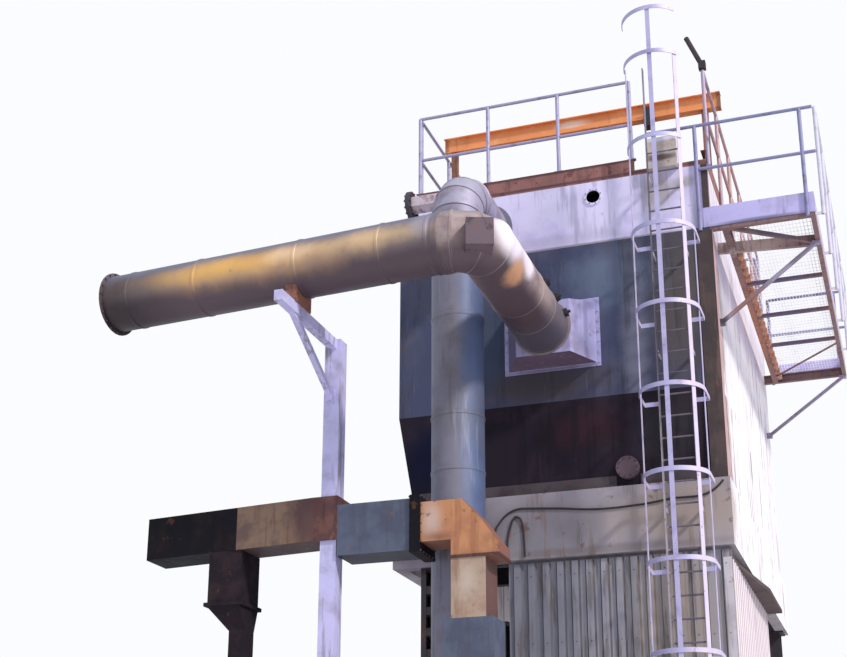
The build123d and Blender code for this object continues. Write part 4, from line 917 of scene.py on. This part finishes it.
        "base": (84, 50, 50), "second": ((104, 66, 60), 4.0, 0.46, 0.2),
        "streaks": [((56, 32, 38), 12.0, 0.52, 0.14, 0.6)],
        "rust": [((150, 100, 72), 7.0, 0.62, 0.07, 0.4)],
        "rough": (0.6, 0.9), "relief": 0.35,
    },
    "dropPrimer": {
        "base": (34, 26, 34), "second": ((48, 36, 40), 4.0, 0.46, 0.2),
        "streaks": [((44, 30, 36), 12.0, 0.52, 0.14, 0.6)],
        "rust": [((84, 60, 52), 7.0, 0.64, 0.07, 0.4)],
        "specular": 0.15, "rough": (0.6, 0.9), "relief": 0.35,
    },
    "lilacPaint": {
        "base": (194, 188, 230), "second": ((170, 162, 196), 3.0, 0.46, 0.2),
        "streaks": [((126, 110, 112), 12.0, 0.54, 0.12, 0.6)],
        "rust": [((136, 98, 80), 8.0, 0.64, 0.06, 0.6)],
        "rough": (0.5, 0.8), "relief": 0.25,
    },
    "blankPaint": {
        "base": (98, 76, 90), "second": ((116, 90, 98), 8.0, 0.46, 0.2),
        "rust": [((92, 58, 58), 16.0, 0.58, 0.08, 0.5)],
        "rough": (0.55, 0.85), "relief": 0.3,
    },
    "canopyBrown": {
        "base": (84, 66, 66), "second": ((64, 50, 54), 4.0, 0.46, 0.2),
        "rust": [((116, 78, 66), 8.0, 0.6, 0.08, 0.5)],
        "rough": (0.6, 0.9), "relief": 0.35,
    },
    "boxPaint": {
        "base": (196, 182, 176), "second": ((172, 154, 146), 5.0, 0.48, 0.2),
        "patches": [
            ((226, 218, 238), (1.4, -0.1, 10.18), (0.3, 0.2, 0.05), 0.9, 0.3),
            ((84, 64, 58), (1.4, -0.1, 9.93), (0.26, 0.2, 0.06), 0.9, 0.5),
        ],
        "rust": [((118, 78, 66), 10.0, 0.6, 0.08, 0.5)],
        "rough": (0.5, 0.8), "relief": 0.25,
    },
}
made = {name: makeFinish(name, look) for name, look in finishes.items()}

# which CAD pieces wear a finish, by the starts of their names
wears = {
    "bandPaint": "ring_beam", "hopperPaint": "hopper", "casingPaint": "casing", "postBrown": "corner_post",
    "darkSteel": "base_columns battened floor_beams hoist band_cable safety_gate", "plenumPanel": "plenum",
    "roofRust": "roof_deck roof_edge", "paleTube": "roof_rail", "rustSteel": "lifting_beam_posts duct_saddle",
    "beamOrange": "lifting_beam", "paleZinc": "ladder_brackets platform", "ladderDull": "ladder",
    "cageZinc": "cage", "platformSteel": "platform_frame", "fasciaZinc": "toe_boards", "kneeSteel": "knee",
    "elbowSheet": "inlet_elbow", "ductHeatStain": "inlet", "hoodWhite": "hood", "hatchSteel": "inspection",
    "lilacPaint": "duct_post duct_bracket", "stubPale": "outlet_stub", "outletZinc": "outlet",
    "brownDuct": "low_duct_brown", "redPrimer": "low_duct_collar", "blackDuct": "low_duct",
    "slateDuct": "low_duct_slate low_duct_foot", "elbowOrange": "low_duct_elbow", "legTan": "low_duct_leg",
    "dropPrimer": "drop_branch", "claddingSide": "enclosure_sides", "claddingSheet": "enclosure",
    "stripCream": "corner_strip", "canopyBrown": "canopy", "blankPaint": "blanking",
    "boxPaint": "terminal_box",
}


def dressNodes():
    # every CAD piece gets the finish of the longest name start that fits it
    starts = {start: finish for finish, names in wears.items() for start in names.split()}
    for name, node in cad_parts.items():
        start = max((start for start in starts if name.startswith(start)), key=len)
        node.data.materials.clear()
        node.data.materials.append(made[starts[start]])


dressNodes()
print("finishes on", len(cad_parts), "CAD pieces")
sharpEdge = math.radians(20.0)


def addPiece(name, shape, finish, slot, *stands):
    # a finished piece at the origin, smooth except over sharp edges; it stands in for the nodes named last
    points, faces = shape
    mesh = bpy.data.meshes.new(name)
    mesh.from_pydata(points.tolist(), [], faces)
    mesh.polygons.foreach_set("use_smooth", np.ones(len(mesh.polygons), bool))
    mesh.set_sharp_from_angle(angle=sharpEdge)
    mesh.materials.append(made[finish])
    mesh.update()
    piece = put(name, mesh)
    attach(piece, "root")
    if stands:
        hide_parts(*stands)


def barRow(start, end, diameter):
    # one row for rods: start, end and diameter, places measured from the front face
    return [*at(*start), *at(*end), diameter]


def blockRow(x, y, z):
    # one row for blocks from three pairs of low and high, measured from the front face
    return [*at(x[0], y[0], z[0]), *at(x[1], y[1], z[1])]


def boltRow(x, y, z, out):
    # one row for boltHeads: place and outward direction
    return [*at(x, y, z), *out]


roofRailing = {
    "left": -1.65, "front": 0.03, "back": 5.57, "frontEnd": 1.029, "backEnd": 1.865, "outside": 1.9193,
    "sideStart": 0.078, "sideEnd": 5.522, "outsideFoot": 0.2, "base": 10.03, "levels": (0.48, 1.07),
    "frontBays": 3, "sideBays": 5, "backBays": 3, "tubes": (0.040, 0.046), "plate": (0.1, 0.056, 0.008),
}
platformRailing = {
    "deck": 9.08, "levels": (0.655, 1.23), "foot": 0.13, "outer": 3.16, "corner": 3.1357, "reach": 1.22,
    "ends": {"front": (-0.0291, 1.79, 2.989), "back": (5.4311, 2.025, 2.989)},  # y, first and last post
    "length": 5.41, "bays": 5, "edge": 3.0703, "stub": (0.02, 0.03), "tubes": (0.040, 0.046),
}


def railRun(start, end, base, levels, bays, tubes, foot=0.0):
    # one straight railing: posts at equal shares of the run, a round rail at every level
    start, end = np.array(start, float), np.array(end, float)
    rail, post = tubes
    rows = []
    for share in np.linspace(0.0, 1.0, bays + 1):
        x, y = start + (end - start) * share
        rows.append(barRow((x, y, base - foot), (x, y, base + max(levels)), post))
    return rows + [barRow((*start, base + level), (*end, base + level), rail) for level in levels]


def addRoofRails(look):
    # posts and rails round the roof with a small plate under each front post
    base, levels, tubes = look["base"], look["levels"], look["tubes"]
    left, front, back, outside = look["left"], look["front"], look["back"], look["outside"]
    rows = railRun((left, front), (look["frontEnd"], front), base, levels, look["frontBays"], tubes)
    first, last = look["sideStart"], look["sideEnd"]
    for x, foot in ((left, 0.0), (outside, look["outsideFoot"])):
        rows += railRun((x, first), (x, last), base, levels, look["sideBays"], tubes, foot)
    rows += railRun((left, back), (look["backEnd"], back), base, levels, look["backBays"], tubes)
    wide, deep, thick = look["plate"]
    plates = [
        blockRow((x - wide / 2, x + wide / 2), (front - deep / 2, front + deep / 2), (base, base + thick))
        for x in np.linspace(left, look["frontEnd"], look["frontBays"] + 1)
    ]
    shape = joined(rods(rows), blocks(plates))
    stands = ("roof_rail_front", "roof_rail_sides", "roof_rail_back")
    addPiece("roofRails", shape, "paleTube", "galvanised", *stands)


def addPlatformRails(look):
    # front, outer and rear railing of the platform; the outer posts stand off on stubs
    deck, levels, tubes, outer = look["deck"], look["levels"], look["tubes"], look["outer"]
    rows = []
    for y, first, last in look["ends"].values():
        rows += railRun((first, y), (last, y), deck, levels, 1, tubes, look["foot"])
        heights = [deck + level for level in levels]
        rows += [barRow((last, y, z), (look["corner"], y, z), tubes[0]) for z in heights]
    y, first, last = look["ends"]["front"]
    top = deck + max(levels)
    rows.append(barRow((look["reach"], y, top), (first, y, top), tubes[0]))
    stands = ("platform_rail_front", "platform_rail_back")
    addPiece("platformEndRails", rods(rows), "shadedRailTube", "galvanised", *stands)
    rows = railRun((outer, 0.0), (outer, look["length"]), deck, levels, look["bays"], tubes, look["foot"])
    wide, high = look["stub"]
    low = deck - look["foot"]
    stubs = [
        blockRow((look["edge"], outer), (y - wide / 2, y + wide / 2), (low, low + high))
        for y in np.linspace(0.0, look["length"], look["bays"] + 1)
    ]
    shape = joined(rods(rows), blocks(stubs))
    addPiece("platformOuterRail", shape, "sunlitRailTube", "galvanised", "platform_rail_outer")


inletDuct = {
    "end": (-4.23, -2.594, 7.82), "corner": (0.0, -2.905, 7.82), "hood": (0.0, -0.45, 7.82),
    "diameter": 0.61, "wall": 0.006, "bend": 0.33, "gores": 3,
    "bandsAt": (-3.93, -3.09, -1.90, -0.97, -0.444), "band": (0.022, 0.006), "seam": (0.016, 0.007),
    "lastBandsAt": (-1.52, -1.02), "joint": ((0.0, -0.03), (0.012, -0.026), (0.012, 0.026), (0.0, 0.03)),
    "flange": (0.012, 0.045), "flangeBolts": 20, "bolt": (0.024, 0.014),
}
outletDuct = {
    "x": -0.8, "y": -1.1, "z": 9.38, "diameter": 0.58, "wall": 0.006, "bend": 0.45, "gores": 4,
    "seam": (0.018, 0.008), "bandsAt": (7.74, 6.59, 5.97, 3.4, 1.7),
    "band": ((0.0, -0.02), (0.007, -0.012), (0.007, 0.012), (0.0, 0.02)),
    "wallRing": ((0.001, 0.001), (0.055, 0.001), (0.055, 0.013), (0.001, 0.013)),
    "stubFaces": ((-1.38, -1), (-1.33, 1)), "stubZ": 9.27, "stubCircle": 0.28, "stubBolts": 12,
    "bolt": (0.026, 0.018),
}


def skinRing(centre, along, diameter, outline):
    # ring on a round duct: the outline's first number is its height over the skin, the second its place along
    return turned(centre, along, [(diameter / 2 + rise, shift) for rise, shift in outline])


def addInletDuct(look):
    # straight duct with raised bands and its lobster-back elbow with a raised seam at each mitre
    end, corner, hood = (at(*look[key]) for key in ("end", "corner", "hood"))
    diameter, wall = look["diameter"], look["wall"]
    along = unit(corner - end)
    start, bend = goredBend(corner, along, (0, 1, 0), look["bend"], look["gores"])
    perX = (corner - end) / (corner - end)[0]
    stations = [end + perX * (x - look["end"][0]) for x in look["bandsAt"]]
    run = goredDuct([end, *stations, start], diameter, wall, [look["band"]] * len(stations))
    addPiece("inletRun", run, "ductHeatStain", "ochre_duct", "inlet_mouth", "inlet_duct")
    last = [np.array([hood[0], frontY + y, hood[2]]) for y in look["lastBandsAt"]]
    beads = [look["seam"]] * len(bend) + [look["band"]] * len(last)
    elbow = goredDuct([start, *bend, *last, hood], diameter, wall, beads)
    addPiece("inletBend", elbow, "elbowSheet", "ochre_duct", "inlet_elbow")
    addPiece("inletJoint", skinRing(start, along, diameter, look["joint"]), "ductHeatStain", "ochre_duct")
    face, wider = look["flange"]
    places = boltCircle(end + along * face, along, diameter + wider, look["flangeBolts"])
    addPiece("inletFlangeBolts", boltHeads(places, *look["bolt"]), "boltSteel", "dark_steel")


def addOutletDuct(look):
    # lobster-back elbow into the plenum, raised bands round the down pipe and bolts on the blanked stub
    x, y, z, diameter = look["x"], look["y"], look["z"], look["diameter"]
    start, bend = goredBend(at(x, y, z), (0, 0, 1), (0, 1, 0), look["bend"], look["gores"])
    shape = goredDuct([start, *bend, at(x, 0.0, z)], diameter, look["wall"], [look["seam"]] * len(bend))
    addPiece("outletBend", shape, "outletElbowZinc", "grey_duct", "outlet_elbow")
    rings = [skinRing(at(x, y, level), (0, 0, 1), diameter, look["band"]) for level in look["bandsAt"]]
    rings.append(skinRing(at(x, 0.0, z), (0, -1, 0), diameter, look["wallRing"]))
    addPiece("outletBands", joined(*rings), "outletZinc", "grey_duct")
    rows = [
        boltCircle(at(face, y, look["stubZ"]), (way, 0, 0), look["stubCircle"], look["stubBolts"])
        for face, way in look["stubFaces"]
    ]
    addPiece("stubBolts", boltHeads(np.vstack(rows), *look["bolt"]), "boltSteel", "dark_steel")


ladderCage = {
    "x": 1.445, "y": -0.25, "width": 0.70, "depth": 0.64, "strap": 0.05, "thickness": 0.008,
    "stringer": 0.1963, "first": 3.03, "pitch": 0.943, "top": 11.485, "upper": (0.0, 0.585, 1.665),
    "fullTurn": 180.0, "openTurn": 145.0, "steps": 30,
}


def hoopBand(low, turn, returned, look):
    # flat hoop: plan points at radius r and r + thickness, straight sides of depth - r, drawn up by the strap
    radius, thickness, stringer, strap = look["width"] / 2, look["thickness"], look["stringer"], look["strap"]
    straight = look["depth"] - radius
    angles = np.radians(np.linspace(0.0, turn, look["steps"] + 1))
    plans = []
    for shift in (0.0, thickness):
        r = radius + shift
        arc = np.stack([-r * np.cos(angles), -straight - r * np.sin(angles)], axis=1)
        if returned:
            arc = np.vstack([[-stringer, shift], [-r, shift], arc, [r, shift], [stringer, shift]])
        plans.append(arc)
    number = len(plans[0])
    levels = [
        np.column_stack([plans[plan], np.full(number, z)])
        for plan, z in ((0, 0.0), (1, 0.0), (1, strap), (0, strap))
    ]
    points = (np.stack(levels, axis=1) + at(look["x"], look["y"], low)).reshape(-1, 3)
    row, side = np.arange(number - 1)[:, None] * 4, np.arange(4)[None, :]
    after = (side + 1) % 4
    faces = np.stack([row + side, row + 4 + side, row + 4 + after, row + after], axis=-1).reshape(-1, 4)
    return points, faces.tolist() + [[0, 1, 2, 3], [4 * number - corner for corner in (1, 2, 3, 4)]]


def addCage(look):
    # smooth flat hoops: whole ones below, open ones at the head of the ladder
    upper = [look["top"] - look["strap"] - drop for drop in look["upper"]]
    levels = np.arange(look["first"], min(upper) - look["pitch"] / 2, look["pitch"])
    hoops = [hoopBand(low, look["fullTurn"], True, look) for low in levels]
    hoops += [hoopBand(low, look["openTurn"], False, look) for low in upper]
    addPiece("cageRings", joined(*hoops), "cageZinc", "galvanised", "cage_hoops")


grating = {
    "x": (2.025, 3.07), "y": (0.008, 5.41), "z": (9.08, 9.105), "bars": 26, "bar": 0.0025,
    "rods": 54, "rod": 0.005, "rodMargin": 0.05, "rodSides": 6,
}


def addGrating(look):
    # bearing bars along the platform, thin cross rods near their tops, and a rim
    (left, right), (front, back), (low, high) = look["x"], look["y"], look["z"]
    bar, rod, margin = look["bar"], look["rod"], look["rodMargin"]
    across = np.linspace(left + bar / 2, right - bar / 2, look["bars"] + 1)
    bars = [blockRow((x - bar / 2, x + bar / 2), (front, back), (low, high)) for x in across]
    rim = (front, front + bar), (back - bar, back)
    bars += [blockRow((left, right), y, (low, high)) for y in rim]
    top = high - rod / 2
    stations = np.linspace(front + margin, back - margin, look["rods"])
    cross = [barRow((left, y, top), (right, y, top), rod) for y in stations]
    shape = joined(blocks(bars), rods(cross, look["rodSides"]))
    addPiece("gratingBars", shape, "gratingZinc", "galvanised", "platform_grating")


hoodTrim = {
    "half": 0.527, "z": (7.50, 8.26), "strip": 0.045, "thickness": 0.006, "boltsAcross": 9, "boltsUp": 7,
    "bolt": (0.02, 0.012), "duct": (0.0, -0.45, 7.82), "diameter": 0.61,
    "collar": ((0.001, 0.0), (0.03, 0.0), (0.03, 0.006), (0.008, 0.01), (0.008, 0.04), (0.001, 0.04)),
}


def addHoodTrim(look):
    # flange strip round the foot of the hood with bolts, and a collar where the duct enters it
    half, (low, high), wide, thick = look["half"], look["z"], look["strip"], look["thickness"]
    uprights, bars = ((-half - wide, -half), (half, half + wide)), ((low - wide, low), (high, high + wide))
    strips = [blockRow(x, (-thick, 0.0), (low - wide, high + wide)) for x in uprights]
    strips += [blockRow((-half, half), (-thick, 0.0), z) for z in bars]
    addPiece("hoodFlange", blocks(strips), "hoodWhite", "white_hood")
    xs, zs = np.linspace(-half, half, look["boltsAcross"]), np.linspace(low, high, look["boltsUp"])
    out, middle = (0.0, -1.0, 0.0), wide / 2
    rows = [boltRow(x, -thick, z, out) for x in xs for z in (low - middle, high + middle)]
    rows += [boltRow(x, -thick, z, out) for z in zs for x in (-half - middle, half + middle)]
    addPiece("hoodBolts", boltHeads(rows, *look["bolt"]), "hoodWhite", "white_hood")
    collar = skinRing(at(*look["duct"]), (0, -1, 0), look["diameter"], look["collar"])
    addPiece("hoodCollar", collar, "elbowSheet", "ochre_duct")


portFittings = {
    "x": 0.548, "z": 9.61, "diameter": 0.165, "ring": 0.028, "ringDepth": 0.014, "bolts": 8, "firstBolt": 0.3,
    "bolt": (0.014, 0.008), "pinHole": 0.0005,
    "cup": ((-0.0004, -0.1495), (-0.0004, 0.0), (-0.003, 0.0), (-0.003, -0.146)),
}


def addPort(look):
    # dark cup lining the sampling port, closed to a pinhole, which paints the shade inside the port, and a
    # bolted ring round its mouth
    out, diameter, ring = (0, -1, 0), look["diameter"], look["ring"]
    mouth = at(look["x"], 0.0, look["z"])
    outline = [(diameter / 2 + rise, shift) for rise, shift in look["cup"]]
    low, high = outline[0][1], outline[-1][1]
    outline = [(look["pinHole"], low), *outline, (look["pinHole"], high)]
    addPiece("portCup", turned(mouth, out, outline), "portShade", "dark_steel")
    rim = ((0.0, 0.0), (ring, 0.0), (ring, look["ringDepth"]), (0.0, look["ringDepth"]))
    addPiece("portRing", skinRing(mouth, out, diameter, rim), "plenumPanel", "pale_panel")
    face = at(look["x"], -look["ringDepth"], look["z"])
    places = boltCircle(face, out, diameter + ring, look["bolts"], look["firstBolt"])
    addPiece("portBolts", boltHeads(places, *look["bolt"]), "boltSteel", "dark_steel")


lugs = {
    "radius": 0.305, "z": 7.82, "places": ((42.0, -1.17), (30.0, -0.87), (15.0, -0.60)),
    "size": (0.10, 0.06, 0.045), "sunk": 0.004, "bolt": (0.034, 0.03),
}


def addLugs(look):
    # clamp lugs on the last length of the inlet duct: a flat bar standing on the skin, a bolt on its head
    rows, bolts = [], []
    length, width, rise = look["size"]
    for angle, y in look["places"]:
        out = np.array([math.cos(math.radians(angle)), 0.0, math.sin(math.radians(angle))])
        foot = at(0.0, y, look["z"]) + out * (look["radius"] - look["sunk"])
        head = foot + out * (rise + look["sunk"])
        rows.append([*foot, *head, 0.0, 1.0, 0.0, length, width])
        bolts.append([*head, *out])
    addPiece("ductLugs", joined(flats(rows), boltHeads(bolts, *look["bolt"])), "darkSteel", "dark_steel")


bolting = {
    "blankPlate": (0.826, -0.04, 6.205), "circle": 0.215, "number": 10,
    "flangeFaces": ((-1.065, -1), (-0.955, 1)), "flangeY": (-1.90, -1.41), "flangeZ": (4.955, 5.555),
    "edge": 0.016, "boltsUp": 7, "boltsAcross": 6, "bolt": (0.022, 0.014),
}


def addBolting(look):
    # bolts on the blanking plate and along the edges of the low duct's flange pair
    rows = boltCircle(at(*look["blankPlate"]), (0, -1, 0), look["circle"], look["number"]).tolist()
    (front, back), (low, high), edge = look["flangeY"], look["flangeZ"], look["edge"]
    front, back, low, high = front + edge, back - edge, low + edge, high - edge
    up, across = np.linspace(low, high, look["boltsUp"]), np.linspace(front, back, look["boltsAcross"])[1:-1]
    for x, way in look["flangeFaces"]:
        rows += [boltRow(x, y, z, (way, 0.0, 0.0)) for y in (front, back) for z in up]
        rows += [boltRow(x, y, z, (way, 0.0, 0.0)) for z in (low, high) for y in across]
    addPiece("flangeBolts", boltHeads(rows, *look["bolt"]), "boltSteel", "dark_steel")


cladding = {
    "left": -0.575, "right": 1.895, "ribs": 15, "ribMiddle": 0.625, "levels": (5.05, 4.3, 3.3, 2.3, 1.3, 0.3),
    "screw": (0.013, 0.007),
}


def addCladdingScrews(look):
    # screws on the crest of every rib of the front wall, at the levels of the rails behind it
    pitch = (look["right"] - look["left"]) / look["ribs"]
    xs = look["left"] + pitch * (np.arange(look["ribs"]) + look["ribMiddle"])
    rows = [boltRow(x, 0.0, z, (0.0, -1.0, 0.0)) for x in xs for z in look["levels"]]
    addPiece("claddingScrews", boltHeads(rows, *look["screw"]), "boltSteel", "dark_steel")


clips = {
    "x": (2.101, 2.165), "z": (8.96, 9.03), "y": (0.9, 5.2), "number": 20, "width": 0.09,
    "bolt": (0.03, 0.02),
}


def addLedgerClips(look):
    # clips along the inner channel of the platform: a short block and a bolt head at equal steps
    half, middle = look["width"] / 2, sum(look["x"]) / 2
    ys = np.linspace(*look["y"], look["number"])
    rows = [blockRow(look["x"], (y - half, y + half), look["z"]) for y in ys]
    bolts = boltHeads([boltRow(middle, y, look["z"][0], (0.0, 0.0, -1.0)) for y in ys], *look["bolt"])
    addPiece("ledgerClips", joined(blocks(rows), bolts), "clipRust", "rusty_steel")


elbowFlange = {"x": (-0.633, -0.135), "y": (-1.87, -1.47), "z": (4.865, 4.895), "proud": 0.012}


def addElbowFlange(look):
    # dark flange strip between the orange elbow and its leg
    (left, right), (front, back), out = look["x"], look["y"], look["proud"]
    long, short = ((front - out, front), (back, back + out)), ((left - out, left), (right, right + out))
    rows = [blockRow((left - out, right + out), y, look["z"]) for y in long]
    rows += [blockRow(x, (front, back), look["z"]) for x in short]
    addPiece("elbowFlange", blocks(rows), "redPrimer", "red_joint")


ledge = {
    "spans": ((-1.70, 0.69), (0.962, 1.71)), "flat": (-0.03, 0.035), "upright": (0.014, 0.031),
    "leftStrip": ((-1.88, -1.716), (0.036, 5.56)), "thin": (5.99, 5.998), "tall": (5.99, 6.13),
}


def addLedge(look):
    # narrow angle strips along the front foot of the hopper section and a flat one along its left foot
    rows = []
    for span in look["spans"]:
        rows += [blockRow(span, look["flat"], look["thin"]), blockRow(span, look["upright"], look["tall"])]
    rows.append(blockRow(*look["leftStrip"], look["thin"]))
    addPiece("hopperLedge", blocks(rows), "ledgePaint", "dark_hopper")


addRoofRails(roofRailing)
addPlatformRails(platformRailing)
print("railings made")
addInletDuct(inletDuct)
addOutletDuct(outletDuct)
addLugs(lugs)
addHoodTrim(hoodTrim)
print("ducts made")
addCage(ladderCage)
addGrating(grating)
addPort(portFittings)
addBolting(bolting)
addCladdingScrews(cladding)
addLedge(ledge)
addLedgerClips(clips)
addElbowFlange(elbowFlange)
print("cage, grating and small parts made")
